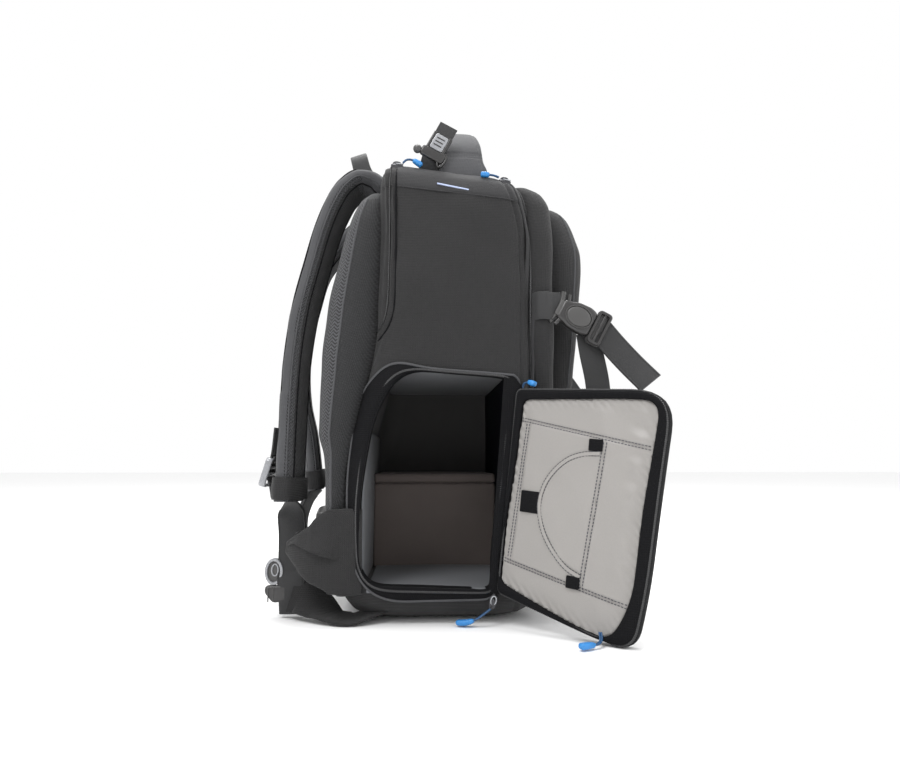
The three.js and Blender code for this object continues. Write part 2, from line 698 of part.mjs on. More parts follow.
for (const harness of shoulderWorks) {
  const { name, side, form, end, across } = harness;
  const top = end.z + bandRise + bandHeight;
  addPiece(`strap_pad_${name}`, trim(form(0), bodySeat, backSeat), materials.fabric);
  const bandSlab = toSolid(block(
    vec(Math.min(0, side * bodyWidth), 0, end.z + bandRise),
    vec(Math.max(0, side * bodyWidth), strapReach * 2, top),
  ));
  const band = toSolid(form(seat + bandWall)).intersect(bandSlab).subtract(toSolid(form(seat)));
  addPiece(`strap_band_${name}`, fromSolid(band), materials.webbing);

  // Spare end of the webbing, and the ladder lock that it runs through
  const face = end.y + strapThickness / 2 + bandWall + seat * 2 + loopThickness / 2;
  const lockPlace = vec(end.x, face + tailBow, top + bandHeight * 0.25);
  const tailPath = [
    { point: vec(end.x, face, end.z + bandRise * 2) },
    { point: vec(end.x, face + tailBow * 0.35, top - bandHeight * 0.35) },
    { point: lockPlace },
    { point: vec(end.x, face + tailBow * 0.25, top + bandHeight * 0.95) },
    { point: vec(end.x, face - tailBow * 0.25, top + bandHeight * 2.3) },
  ];
  const tailSeat = toSolid(sweep(tailPath, {
    width: sideWebbing + seat * 2, thickness: loopThickness + seat * 2, across,
  }));
  addPiece(`strap_tail_${name}`, trim(sweep(tailPath, {
    width: sideWebbing, thickness: loopThickness, across,
  }), toSolid(form(seat * 2 + bandWall))), materials.webbing);
  const lockAlong = vec(0, -Math.sin(lockTilt), Math.cos(lockTilt));
  const lockStart = lockPlace.clone().addScaledVector(lockAlong, -strapLockLength / 2);
  addPiece(`strap_lock_${name}`, trim(plate(
    lockStart, lockAlong, across, rectangle(strapLockLength, strapLockWidth, strapLockThickness * 0.4),
    strapLockThickness,
  ), tailSeat, toSolid(form(seat * 2 + bandWall))), materials.greyPlastic);

  // Lower webbing turns from the strap's end to face sideways, and is folded double near the floor
  const webPlace = side * lowerWebPlace;
  const webOut = end.y - strapThickness * 0.22 + harness.webOut;
  const startAcross = vec(Math.cos(webStartTurn), Math.sin(webStartTurn) * -side, 0);
  const endAcross = vec(1 - harness.turn, -side * harness.turn, 0).normalize();
  const webTop = end.z + bandRise / 4;
  const webPath = [
    { point: vec(end.x, end.y, webTop), across: startAcross },
    { point: vec(mix(end.x, webPlace, 0.6), mix(end.y, webOut, 0.6), webTop - webbing * 0.55), across: endAcross },
    { point: vec(webPlace, webOut, webTop - webbing * 1.3), across: endAcross },
    { point: vec(webPlace, webOut, foldTop), across: endAcross },
    { point: vec(webPlace, webOut, foldTop - webbing * 0.3), across: endAcross, thickness: foldThickness },
    { point: vec(webPlace, webOut, foldBottom), across: endAcross, thickness: foldThickness, width: webbing * 0.8 },
  ];
  const webForm = (grow) => toSolid(sweep(webPath.map((row) => ({
    ...row, width: (row.width ?? webbing) + grow * 2, thickness: (row.thickness ?? webbingThickness) + grow * 2,
  })), { across: endAcross }));
  addPiece(`lower_web_${name}`, fromSolid(webForm(0).subtract(toSolid(form(seat)))), materials.webbing);

  // Dark catch and oval lock, cut to seat on the folded webbing
  const catchStart = vec(webPlace, webOut + (harness.turn === 1 ? webbing * 0.15 : 0), catchRise);
  const catchReach = (harness.turn === 1 ? webbing * 0.15 : foldThickness * 0.6) + webLockWidth;
  const catchOutline = catchCorners.map((p) => ({
    x: p.x * catchReach, y: p.y * webLockLength, radius: p.radius * webLockWidth,
  }));
  const foldSeat = webForm(seat);
  addPiece(`web_catch_${name}`, trim(
    plate(catchStart, alongY, alongZ, roundOutline(catchOutline, 3), foldThickness), foldSeat,
  ), materials.darkPlastic);
  const ovalMiddle = catchStart.clone().add(vec(0, catchReach - webLockWidth * 0.5, webLockLength * 1.17 + seat));
  addPiece(`web_lock_${name}`, trim(
    plate(ovalMiddle, alongY, alongZ, ovalOutline(webLockWidth, webLockLength), foldThickness * 0.6), foldSeat,
  ), materials.greyPlastic);

  // Tab from the folded webbing's foot down to the floor and along it to the bag's lower corner
  const tabStart = webOut - webbingThickness / 2;
  const tabPath = tabRows.map((row) => {
    const tilt = THREE.MathUtils.degToRad(row.tilt);
    return {
      point: vec(webPlace * row.x, tabStart - row.y * tabRun, row.z * tabHeight),
      width: row.width * tabWidth,
      across: vec(Math.cos(tilt), 0, -side * Math.sin(tilt)),
    };
  });
  addPiece(`base_tab_${name}`, trim(sweep(tabPath, {
    thickness: webbingThickness * 0.8, across: alongX,
  }), bodySeat, foldSeat), materials.webbing);
}

// Hip wings from the lower corners, and the webbing that joins their tips through a buckle.
// x as a share of half the body's width, y of the wing's reach, z of the belt's height
const wingRows = [
  { x: 0.952, y: 0.535, z: 1.000, height: 1.00 },
  { x: 0.972, y: 0.637, z: 1.000, height: 1.02 },
  { x: 0.972, y: 0.739, z: 1.000, height: 0.98 },
  { x: 0.952, y: 0.841, z: 0.990, height: 0.72 },
  { x: 0.903, y: 0.930, z: 1.014, height: 0.40 },
  { x: 0.841, y: 1.000, z: 1.034, height: 0.15 },
];
const beltRows = [
  { x: 0.869, y: 0.949, z: 1.020 },
  { x: 0.800, y: 0.943, z: 1.030 },
  { x: 0.717, y: 0.898, z: 1.050 },
  { x: 0.607, y: 0.873, z: 1.086 },
  { x: 0.345, y: 0.873, z: 1.157 },
  { x: 0.000, y: 0.879, z: 1.186 },
];
const beltHalf = beltRows.map((row) => vec(row.x * halfBody, row.y * wingReach, row.z * beltHeight));
const beltPath = [
  ...beltHalf.map((p) => ({ point: vec(-p.x, p.y, p.z) })),
  ...beltHalf.slice(0, -1).reverse().map((point) => ({ point })),
];
const wingForm = (side, grow) => sweep(wingRows.map((row) => ({
  point: vec(side * row.x * halfBody, row.y * wingReach, row.z * beltHeight),
  width: row.height * wingHeight + grow * 2,
})), { thickness: wingThickness + grow * 2, across: alongZ, corner: wingThickness * 0.4 + grow, bends: 1 });
const beltForm = (grow) => sweep(beltPath, {
  width: beltWebbing + grow * 2, thickness: loopThickness + grow * 2, across: alongZ, samples: 2,
});
const beltSeat = toSolid(beltForm(seat));
for (const { name, side } of harnessSides) {
  addPiece(`belt_wing_${name}`, trim(wingForm(side, 0), bodySeat, backSeat), materials.fabric);
}
addPiece('hip_belt', trim(beltForm(0), toSolid(wingForm(-1, seat)), toSolid(wingForm(1, seat))), materials.webbing);
const buckleOutline = roundOutline([
  { x: -0.5, y: -0.36, radius: 0.1 }, { x: -0.2, y: -0.5, radius: 0.12 }, { x: 0.2, y: -0.5, radius: 0.12 },
  { x: 0.5, y: -0.36, radius: 0.1 }, { x: 0.5, y: 0.36, radius: 0.1 }, { x: 0.2, y: 0.5, radius: 0.12 },
  { x: -0.2, y: 0.5, radius: 0.12 }, { x: -0.5, y: 0.36, radius: 0.1 },
].map((p) => ({
  x: p.x * beltBuckleLength, y: p.y * beltBuckleHeight, radius: p.radius * beltBuckleHeight,
})), 2);
const beltMiddle = beltHalf[beltHalf.length - 1];
addPiece('belt_buckle', trim(
  plate(beltMiddle, alongX, alongZ, buckleOutline, beltBuckleThickness), beltSeat,
), materials.darkPlastic);

// Side compression straps: anchor, buckle socket and plug, spare tail, and the strap down to the base
const drop = THREE.MathUtils.degToRad(sideDrop);
const buckleAlong = vec(0, -Math.cos(drop), -Math.sin(drop));
const buckleAcross = vec(0, -Math.sin(drop), Math.cos(drop));
const socketHalf = [
  { along: 0.00, across: 0.44 }, { along: 0.10, across: 0.50 }, { along: 0.26, across: 0.37 },
  { along: 0.45, across: 0.44 }, { along: 0.92, across: 0.42 }, { along: 1.00, across: 0.34 },
];
const socketOutline = [
  ...socketHalf.map((p) => new THREE.Vector2(p.along * socketLength, -p.across * socketWidth)),
  ...[...socketHalf].reverse().map((p) => new THREE.Vector2(p.along * socketLength, p.across * socketWidth)),
];
// Load strap: x as a share of its place at the plug, y of the pocket's reach, z of the side strap's height
const loadRows = [
  { x: 1.000, y: 0.990, z: 0.915 },
  { x: 1.000, y: 1.008, z: 0.855 },
  { x: 0.995, y: 1.052, z: 0.735 },
  { x: 0.975, y: 1.040, z: 0.575 },
  { x: 0.945, y: 0.972, z: 0.415 },
  { x: 0.915, y: 0.861, z: 0.275 },
  { x: 0.880, y: 0.722, z: 0.195 },
];

// Anchor: x beyond the panel's side as a share of the socket's thickness, y as a share of the socket's place
const anchorRows = [
  { x: -0.67, y: 0.77 },
  { x: 0.17, y: 0.83 },
  { x: 0.29, y: 0.90 },
  { x: -0.08, y: 0.97 },
  { x: -0.17, y: 1.04 },
];
for (const { name, side } of harnessSides) {
  const socketStart = vec(side * socketPlace, -socketFront, sideStrapHeight);
  const plugStart = socketStart.clone().addScaledVector(buckleAlong, socketLength + seat);
  const plugEnd = plugStart.clone().addScaledVector(buckleAlong, plugLength);
  const socketForm = plate(socketStart, buckleAlong, buckleAcross, socketOutline, socketThickness, 0.2);
  const socketSeat = toSolid(plate(
    socketStart.clone().addScaledVector(buckleAlong, -seat), buckleAlong, buckleAcross,
    rectangle(socketLength + seat * 2, socketWidth + seat * 2, 1), socketThickness + seat * 2, 0,
  ));
  addPiece(`side_socket_${name}`, socketForm, materials.darkPlastic);
  const anchorPath = anchorRows.map((row) => ({
    point: vec(side * (panelWidth / 2 + row.x * socketThickness), -row.y * socketFront, sideStrapHeight),
  }));
  addPiece(`side_anchor_${name}`, trim(sweep(anchorPath, {
    width: sideWebbing * 1.15, thickness: sideThickness, across: alongZ,
  }), bodySeat, panelSeat, socketSeat), materials.webbing);
  const plugForm = plate(plugStart, buckleAlong, buckleAcross, rectangle(plugLength, plugWidth, plugCorner), plugThickness);
  const plugSeat = toSolid(plate(
    plugStart.clone().addScaledVector(buckleAlong, -seat), buckleAlong, buckleAcross,
    rectangle(plugLength + seat * 2, plugWidth + seat * 2, plugCorner), plugThickness + seat * 2,
  ));
  addPiece(`side_plug_${name}`, plugForm, materials.darkPlastic);
  const tailTurn = THREE.MathUtils.degToRad(sideTailDrop);
  const tailAlong = vec(0, -Math.cos(tailTurn), -Math.sin(tailTurn));
  const tailAcross = vec(0, -Math.sin(tailTurn), Math.cos(tailTurn));
  const tailStart = plugEnd.clone().addScaledVector(buckleAlong, -plugLength * 0.4);
  const tailPath = [0, 0.3, 0.65, 1].map((t) => ({
    point: tailStart.clone().addScaledVector(tailAlong, t * sideTailLength)
      .add(vec(side * sideTailFlare * t * t, 0, 0)),
  }));
  addPiece(`side_tail_${name}`, trim(sweep(tailPath, {
    width: sideWebbing, thickness: sideThickness, across: tailAcross,
  }), plugSeat), materials.webbing);
  const loadPlace = socketPlace - plugThickness / 2 - seat - sideThickness / 2;
  const loadPath = loadRows.map((row) => ({
    point: vec(side * loadPlace * row.x, -row.y * pocketReach, row.z * sideStrapHeight),
  }));
  addPiece(`load_strap_${name}`, trim(sweep(loadPath, {
    width: sideWebbing, thickness: sideThickness, across: alongY, samples: 2,
  }), pocketSeat, panelSeat, bodySeat, socketSeat, plugSeat), materials.webbing);
}

// Zip sliders, each with the cord pull that hangs from it
function zipSlider(name, centre, along, across, ...cutters) {
  const start = centre.clone().addScaledVector(along, -sliderLength / 2);
  addPiece(name, trim(plate(
    start, along, across, rectangle(sliderLength, sliderLength * 0.6, 2), sliderLength * 0.42,
  ), ...cutters), materials.slider);
}

function zipPull(name, points, across, ...cutters) {
  const last = points.length - 1;
  const rows = points.map((point, i) => {
    const grip = i / last > 0.6 ? 1 : 0;
    return {
      point,
      width: mix(cordThickness, pullThickness * 1.3, grip),
      thickness: mix(cordThickness, pullThickness, grip),
    };
  });
  addPiece(name, trim(sweep(rows, { across, corner: cordThickness * 0.35, samples: 2, bends: 1 }), ...cutters),
    materials.bluePull);
}

// A place on the near side's skin: at as a share of the body's height, y of its depth, and a lift
// straight up in cord thicknesses
function skinPlace({ at, y, lift = 0 }) {
  const row = readTable(bodySections, at);
  const place = y * bodyDepth;
  const radius = row.corner * bodyCorner;
  const past = Math.max(0, place - row.back * bodyDepth + radius, row.front * bodyDepth + radius - place);
  const inset = radius - Math.sqrt(Math.max(0, radius ** 2 - past ** 2));
  return vec(inset - row.half * halfBody, place, row.at * bodyHeight + row.slope * place + lift * cordThickness);
}

// Pulls on the top edges
const laptopRows = [
  { at: 0.978, y: 0.240, lift: 1.5 },
  { at: 0.978, y: 0.220, lift: 2.6 },
  { at: 0.978, y: 0.195, lift: 2.8 },
  { at: 0.979, y: 0.165, lift: 2.1 },
  { at: 0.980, y: 0.142, lift: 1.2 },
];
const mainRows = [
  { at: 0.973, y: -0.260, lift: 1.2 },
  { at: 0.973, y: -0.235, lift: 1.5 },
  { at: 0.973, y: -0.205, lift: 1.5 },
  { at: 0.974, y: -0.165, lift: 1.2 },
];
zipSlider('laptop_slider', skinPlace({ at: 0.978, y: 0.270, lift: 0.3 }), alongY, alongX, bodySeat);
zipPull('laptop_pull', laptopRows.map(skinPlace), alongX, bodySeat);
zipSlider('main_slider', skinPlace({ at: 0.970, y: -0.290, lift: 0.3 }), alongY, alongX, bodySeat);
zipPull('main_pull', mainRows.map(skinPlace), alongX, bodySeat);

// Pulls at the door's lower corner, on the door's free corner and at its hinge's top
const doorSeat = toSolid(skinRings([
  { proud: -doorThickness - seat }, { proud: seat },
].map((ring) => doorOutline.map((p) => {
  const outer = p.clone().lerp(doorMiddle, -seat * 3 / doorWidth);
  return doorPoint(outer.x, outer.y, ring.proud);
}))));
const sillRows = [
  { x: 1.010, y: 0.130, z: 0.500 },
  { x: 1.012, y: 0.180, z: 0.350 },
  { x: 1.008, y: 0.228, z: 0.220 },
  { x: 0.996, y: 0.290, z: 0.135 },
  { x: 0.972, y: 0.352, z: 0.118 },
];
zipSlider('door_slider', vec(-halfBody * 0.968, openingFront + openingLength * 0.11, openingSill * 0.66),
  vec(-0.2, 0.25, -1).normalize(), alongY, bodySeat, doorSeat);
zipPull('door_pull', sillRows.map((row) => vec(
  -row.x * halfBody, openingFront + row.y * openingLength, row.z * openingSill,
)), alongZ, bodySeat);
const cornerStart = doorPoint(doorWidth * 0.7, -hingeLength * 0.06, cordThickness * 0.6);
const cornerEnd = doorPoint(doorWidth * 0.72, -hingeLength * 0.085, cordThickness * 2);
zipPull('corner_pull', [
  cornerStart,
  cornerEnd,
  vec(cornerEnd.x - cordThickness, cornerEnd.y + cordThickness, cordThickness * 1.2),
  vec(cornerEnd.x - cordThickness * 2, cornerEnd.y + cordThickness * 3.2, cordThickness * 1.2),
  vec(cornerEnd.x - cordThickness * 3.2, cornerEnd.y + cordThickness * 6, cordThickness * 1.2),
], alongZ, doorSeat);
const hingeRows = [
  { out: 1.5, up: -0.3 },
  { out: 1.9, up: 1.0 },
  { out: 3.5, up: 1.4 },
  { out: 5.6, up: 0.8 },
];
zipPull('hinge_pull', hingeRows.map((row) => doorPoint(
  row.out * cordThickness, hingeLength + row.up * cordThickness, -doorThickness / 2,
)), doorFace, doorSeat, bodySeat);

export default group;
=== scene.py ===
"""Camera backpack with its side door standing open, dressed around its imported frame."""
import json
import math

import bmesh
import bpy
import numpy as np
from mathutils import Matrix, Vector
from mathutils.bvhtree import BVHTree

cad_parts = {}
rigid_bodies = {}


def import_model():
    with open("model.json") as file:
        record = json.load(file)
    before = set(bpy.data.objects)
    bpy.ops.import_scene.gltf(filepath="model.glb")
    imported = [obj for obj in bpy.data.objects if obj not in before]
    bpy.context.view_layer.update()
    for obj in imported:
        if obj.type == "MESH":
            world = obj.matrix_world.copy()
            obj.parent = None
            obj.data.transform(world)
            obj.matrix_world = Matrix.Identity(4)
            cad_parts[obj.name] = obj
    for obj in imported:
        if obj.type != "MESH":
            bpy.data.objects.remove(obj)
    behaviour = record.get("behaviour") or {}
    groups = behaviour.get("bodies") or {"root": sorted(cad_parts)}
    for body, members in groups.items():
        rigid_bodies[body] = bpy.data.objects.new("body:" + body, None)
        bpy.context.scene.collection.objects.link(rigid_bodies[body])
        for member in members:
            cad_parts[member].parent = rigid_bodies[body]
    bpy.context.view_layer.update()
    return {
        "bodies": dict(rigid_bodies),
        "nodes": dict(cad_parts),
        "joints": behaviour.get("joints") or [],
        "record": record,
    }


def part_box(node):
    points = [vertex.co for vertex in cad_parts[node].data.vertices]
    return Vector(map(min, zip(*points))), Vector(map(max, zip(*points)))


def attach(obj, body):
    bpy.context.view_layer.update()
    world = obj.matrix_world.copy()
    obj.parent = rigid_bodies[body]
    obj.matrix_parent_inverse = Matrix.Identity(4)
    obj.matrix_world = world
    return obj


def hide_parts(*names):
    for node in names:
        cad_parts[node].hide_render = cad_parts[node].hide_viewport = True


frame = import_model()

bl_info = {
    "name": "Camera Backpack",
    "version": (1, 0, 0),
    "blender": (4, 5, 0),
    "location": "View3D > Sidebar > Backpack",
    "description": "Makes a camera backpack with an open side door around its frame",
    "category": "Add Mesh",
}

MM = 0.001

# Main body
BODY_HEIGHT = 464 * MM
BODY_WIDTH = 290 * MM
BODY_DEPTH = 200 * MM
BODY_CORNER = 34 * MM
BODY_WALL = 8 * MM
BAY_FLOOR = 32 * MM
NEAR = -BODY_WIDTH / 2

# Top patch: height of its lower edge at its front end, and how it rises towards the back
PATCH_HEIGHT = 420.6 * MM
PATCH_FRONT = 71.9 * MM
PATCH_SLOPE = 0.105

# Side opening
OPENING_LENGTH = 144 * MM
OPENING_HEIGHT = 212 * MM
OPENING_FRONT = -57 * MM
OPENING_SILL = 34 * MM

# Back panel, front panel and front pocket
BACK = {"reach": 130 * MM, "width": 272 * MM, "corner": 40 * MM, "low": 24 * MM, "high": 437 * MM}
PANEL = {"reach": 108 * MM, "width": 268 * MM, "corner": 22 * MM, "low": 14 * MM, "high": 447 * MM}
POCKET = {"reach": 144 * MM, "width": 218 * MM, "corner": 26 * MM, "low": 34 * MM, "high": 434 * MM}

# Door flap
DOOR_WIDTH = 154 * MM
HINGE_LENGTH = 198 * MM
DOOR_THICKNESS = 12 * MM
DOOR_SWING = math.radians(142)
HINGE_LEAN = math.radians(6.1)
HINGE_BOTTOM = np.array([-147, -43, 32]) * MM

# Handle, hang loop and top lock
HANDLE_RISE = 528 * MM
HANDLE_SPAN = 232 * MM
HANDLE_WIDTH = 46 * MM
HANDLE_THICKNESS = 10 * MM
HANDLE_PLACE = -15 * MM
LOOP_WEBBING = 20 * MM
THIN_WEBBING = 2.5 * MM
LOOP_HALF_SPAN = 23 * MM
LOOP_TOP = 523 * MM
TOP_WEB_PLACE = -120.5 * MM
TOP_LOCK = np.array([30, 27, 6]) * MM

# Shoulder straps and lower harness
STRAP_WIDTH = 62 * MM
STRAP_THICKNESS = 20 * MM
STRAP_POWER = 2.7
STRAP_REACH = 162 * MM
STRAP_SPREAD = 92 * MM
STRAP_TOP = 466 * MM
STRAP_TWIST = 0.1
STRAP_FALL = 0.247
FAR_BOW = 28 * MM
FAR_LIFT = 6 * MM
FAR_WEB_OUT = 22 * MM
BAND_RISE = 2 * MM
BAND_HEIGHT = 22 * MM
BAND_WALL = 3 * MM
STRAP_LOCK = np.array([30, 32, 7]) * MM
LOCK_TILT = 0.28
TAIL_BOW = 6 * MM
WEBBING = 28 * MM
WEBBING_THICKNESS = 4 * MM
LOWER_WEB_PLACE = 95 * MM
FOLD_THICKNESS = 9 * MM
FOLD_TOP = 46 * MM
FOLD_BOTTOM = 4 * MM
CATCH_RISE = 14.6 * MM
TAB_RUN = 94 * MM
TAB_HEIGHT = 40 * MM
TAB_WIDTH = 44 * MM
WEB_LOCK = np.array([18, 26]) * MM

# Hip belt
WING_REACH = 157 * MM
WING_HEIGHT = 80 * MM
WING_THICKNESS = 6 * MM
BELT_HEIGHT = 70 * MM
BELT_WEBBING = 30 * MM
BELT_BUCKLE = np.array([62, 42, 13]) * MM

# Side straps
SIDE_WEBBING = 25 * MM
SIDE_HEIGHT = 312 * MM
SOCKET_PLACE = 132 * MM
SOCKET_FRONT = 109 * MM
SOCKET = np.array([41, 34, 12]) * MM
PLUG = np.array([15, 36, 9]) * MM
SIDE_DROP = math.radians(28)
TAIL_DROP = math.radians(51.5)
TAIL_LENGTH = 72 * MM
TAIL_FLARE = 16 * MM

# Gap between pieces that seat on each other
SEAT = 0.3 * MM

# Zip sliders
SLIDER_LENGTH = 13 * MM

# Floor, lights and camera, which stands in the place that the photograph was taken from
FLOOR_SIZE = 8
LIGHTS = [
    ("key", (-1.3, 0.9, 1.9), 0.8, 24), ("fill", (-0.9, -1.4, 1.0), 1.4, 7),
    ("top", (0.3, 0.0, 2.2), 1.2, 48),
]
LIGHT_AIM = Vector((0, 0, 0.22))
CAMERA_PLACE = Vector((-0.815, 0.029, 0.157))
CAMERA_TURN = math.radians(2.5)
CAMERA_RISE = math.radians(6.4)
CAMERA_LENS = 27.6
CAMERA_SENSOR = 36

# Body sections: height, back and front as shares of the depth, half as a share of half the width,
# corner as a share of the body's, and how much the height rises towards the back
BODY_SECTIONS = [
    (0, 0.46, -0.39, 0.64, 1.5, 0),
    (0.01, 0.48, -0.41, 0.772, 1.4, 0),
    (0.026, 0.497, -0.428, 0.866, 1.3, 0),
    (0.054, 0.52, -0.442, 0.945, 1.1, 0),
    (0.1, 0.532, -0.455, 0.988, 1, 0),
    (0.28, 0.53, -0.45, 1, 1, 0),
    (0.431, 0.465, -0.44, 1, 1, 0),
    (0.539, 0.4, -0.435, 0.995, 1, 0),
    (0.625, 0.37, -0.432, 0.99, 1, 0),
    (0.776, 0.365, -0.425, 0.985, 1, 0.01),
    (0.88, 0.362, -0.412, 0.974, 0.85, 0.05),
    (0.925, 0.358, -0.395, 0.957, 0.75, 0.08),
    (0.957, 0.35, -0.366, 0.925, 0.65, 0.1),
    (0.977, 0.33, -0.325, 0.868, 0.6, 0.115),
    (0.99, 0.295, -0.275, 0.79, 0.6, 0.115),
    (1, 0.24, -0.205, 0.67, 0.6, 0.115),
]

# Layers: share of the height between their ends, reach and half width as shares of their own
BACK_SECTIONS = [
    (0, 0.84, 0.9), (0.03, 0.885, 0.96), (0.2, 0.925, 1), (0.33, 0.95, 1),
    (0.39, 0.998, 1), (0.56, 1, 1), (0.67, 0.966, 0.995), (0.79, 0.89, 0.985),
    (0.9, 0.808, 0.96), (0.97, 0.715, 0.9), (1, 0.63, 0.82),
]
PANEL_SECTIONS = [
    (0, 0.88, 0.86), (0.035, 0.93, 0.95), (0.12, 0.965, 1), (0.6, 0.99, 1),
    (0.85, 1, 0.985), (0.935, 0.985, 0.945), (0.975, 0.92, 0.89), (1, 0.79, 0.81),
]
POCKET_SECTIONS = [
    (0, 0.79, 0.88), (0.04, 0.845, 0.96), (0.13, 0.87, 1), (0.5, 0.905, 1),
    (0.62, 0.958, 1), (0.78, 0.995, 0.99), (0.86, 1, 0.975), (0.91, 0.97, 0.95),
    (0.955, 0.922, 0.9), (0.985, 0.85, 0.83), (1, 0.77, 0.74),
]

# Opening's corners: y as a share of its length, z of its height, radius of its height
OPENING_CORNERS = [
    (0, 0.96, 0.03), (0.12, 0.12, 0.1), (0.12, 0, 0.03), (0.99, 0.022, 0.12),
    (1, 0.42, 0.34), (0.905, 0.8, 0.22), (0.72, 1, 0.22),
]
# Outer edge of the opening's binding, in the same shares
BINDING_CORNERS = [
    (-0.085, 0.968, 0.03), (0.08, 0.05, 0.06), (0.09, -0.04, 0.04), (0.985, -0.052, 0.22),
    (1.095, 0.38, 0.4), (1.02, 0.88, 0.3), (0.8, 1.04, 0.16), (0.56, 1, 0.1),
]

# Door's corners: out as a share of its width, up and radius as shares of the hinge's length
DOOR_CORNERS = [
    (0.01, 0, 0.03), (0.64, -0.09, 0.14), (0.89, -0.116, 0.17), (0.94, 0.15, 0.2),
    (0.975, 0.62, 0.12), (1.01, 1.005, 0.25), (0.01, 0.99, 0.03),
]
# Edge of the door's lining, inside the binding, in the same shares
LINING_CORNERS = [
    (-0.004, 0.06, 0.08), (0.34, -0.02, 0.1), (0.745, -0.106, 0.14), (0.862, 0.09, 0.14),
    (0.884, 0.48, 0.1), (0.914, 0.7, 0.08), (0.945, 0.955, 0.16), (0.7, 0.955, 0.06),
    (0.07, 0.935, 0.03), (0.05, 0.56, 0.1),
]

# Handle: x as a share of half its span, z of its rise, width of its own, y of its width
HANDLE_ROWS = [
    (1, 0.815, 1, 0), (0.965, 0.88, 1, 0), (0.86, 0.935, 0.86, -0.01),
    (0.66, 0.975, 0.62, -0.04), (0.34, 0.993, 0.52, -0.05), (0, 1, 0.5, -0.05),
]
# Hang loop: x as a share of half its span, y of the body's depth, z of its top
LOOP_ROWS = [
    (1, 0.31, 0.87), (1, 0.42, 0.915), (1, 0.485, 0.95), (0.86, 0.515, 0.985),
    (0.4, 0.525, 1),
]
# Webbing that leans on the handle: x as a share of its place, y of the handle's width, z of its rise
TOP_WEB_ROWS = [
    (0.93, 0.84, 0.856), (0.93, 0.82, 0.868), (0.955, 0.77, 0.882), (1, 0.69, 0.902),
    (1, 0.5, 0.932), (1, 0.32, 0.961),
]
# Shoulder strap: out as a share of its reach, z of its top, side of its spread, width of its own, bow
STRAP_ROWS = [
    (0.38, 0.96, 0.68, 0.9, 0), (0.5, 0.994, 0.69, 0.92, 0),
    (0.6, 0.993, 0.71, 0.95, 0), (0.685, 0.965, 0.755, 0.98, 0.2),
    (0.75, 0.92, 0.805, 1, 0.5), (0.81, 0.858, 0.855, 1.02, 0.9),
    (0.872, 0.77, 0.9, 1.02, 1), (0.93, 0.681, 0.93, 1.02, 1),
    (0.972, 0.572, 0.96, 1, 0.9), (0.987, 0.481, 0.97, 1, 0.7),
    (0.993, 0.394, 0.98, 1, 0.35), (1, STRAP_FALL, 1, 0.98, 0),
]
# Hip wing: x as a share of half the body's width, y of the wing's reach, z of the belt's height, height
WING_ROWS = [
    (0.952, 0.535, 1, 1), (0.972, 0.637, 1, 1.02), (0.972, 0.739, 1, 0.98),
    (0.952, 0.841, 0.99, 0.72), (0.903, 0.93, 1.014, 0.4), (0.841, 1, 1.034, 0.15),
]
# Hip belt's webbing, in the same shares
BELT_ROWS = [
    (0.869, 0.949, 1.02), (0.8, 0.943, 1.03), (0.717, 0.898, 1.05), (0.607, 0.873, 1.086),
    (0.345, 0.873, 1.157), (0, 0.879, 1.186),
]
# Load strap: x as a share of its place, y of the pocket's reach, z of the side strap's height
LOAD_ROWS = [
    (1, 0.99, 0.915), (1, 1.008, 0.855), (0.995, 1.052, 0.735), (0.975, 1.04, 0.575),
    (0.945, 0.972, 0.415), (0.915, 0.861, 0.275), (0.88, 0.722, 0.195),
]
# Anchor: x beyond the panel's side as a share of the socket's thickness, y as a share of its place
ANCHOR_ROWS = [(-0.67, 0.77), (0.17, 0.83), (0.29, 0.9), (-0.08, 0.97), (-0.17, 1.04)]
# Base tab: x as a share of the webbing's place, y of its run, z of its height, width of its own, and the
# tilt of its inner edge in degrees
TAB_ROWS = [
    (1.05, 0, 0.65, 0.92, 70), (1.06, 0.1, 0.6, 0.92, 66), (1.12, 0.3, 0.33, 0.92, 33),
    (1.18, 0.47, 0.11, 1.05, 4), (1.2, 0.65, 0.065, 1.2, 0), (1.14, 0.83, 0.165, 1.1, 0),
    (1.05, 1, 0.265, 0.9, 0),
]

# Seams on the body's sides: y by height, both in metres
REAR_SEAM = np.array([
    (104, 60), (107, 110), (106, 150), (103.5, 175), (97, 205), (87, 235), (76.3, 252.7),
    (68.7, 274.7), (66.2, 309), (65.8, 366), (66.6, 444.5),
]) * MM
LAPTOP_ZIP = np.array([
    (73.6, 284.3), (66.5, 291), (62.6, 303), (61, 325), (60.4, 366), (60.6, 427), (60, 455),
]) * MM
GUSSET_SEAM = np.array([
    (71, 276), (63, 285), (57, 298), (54.6, 315), (53.9, 366), (54.4, 427), (54, 455),
]) * MM
MAIN_ZIP = np.array([
    (-76, 46), (-80, 120), (-82, 240), (-83.5, 321.5), (-83.5, 366), (-82.5, 389), (-79, 407),
    (-73.9, 425), (-66.9, 443),
]) * MM

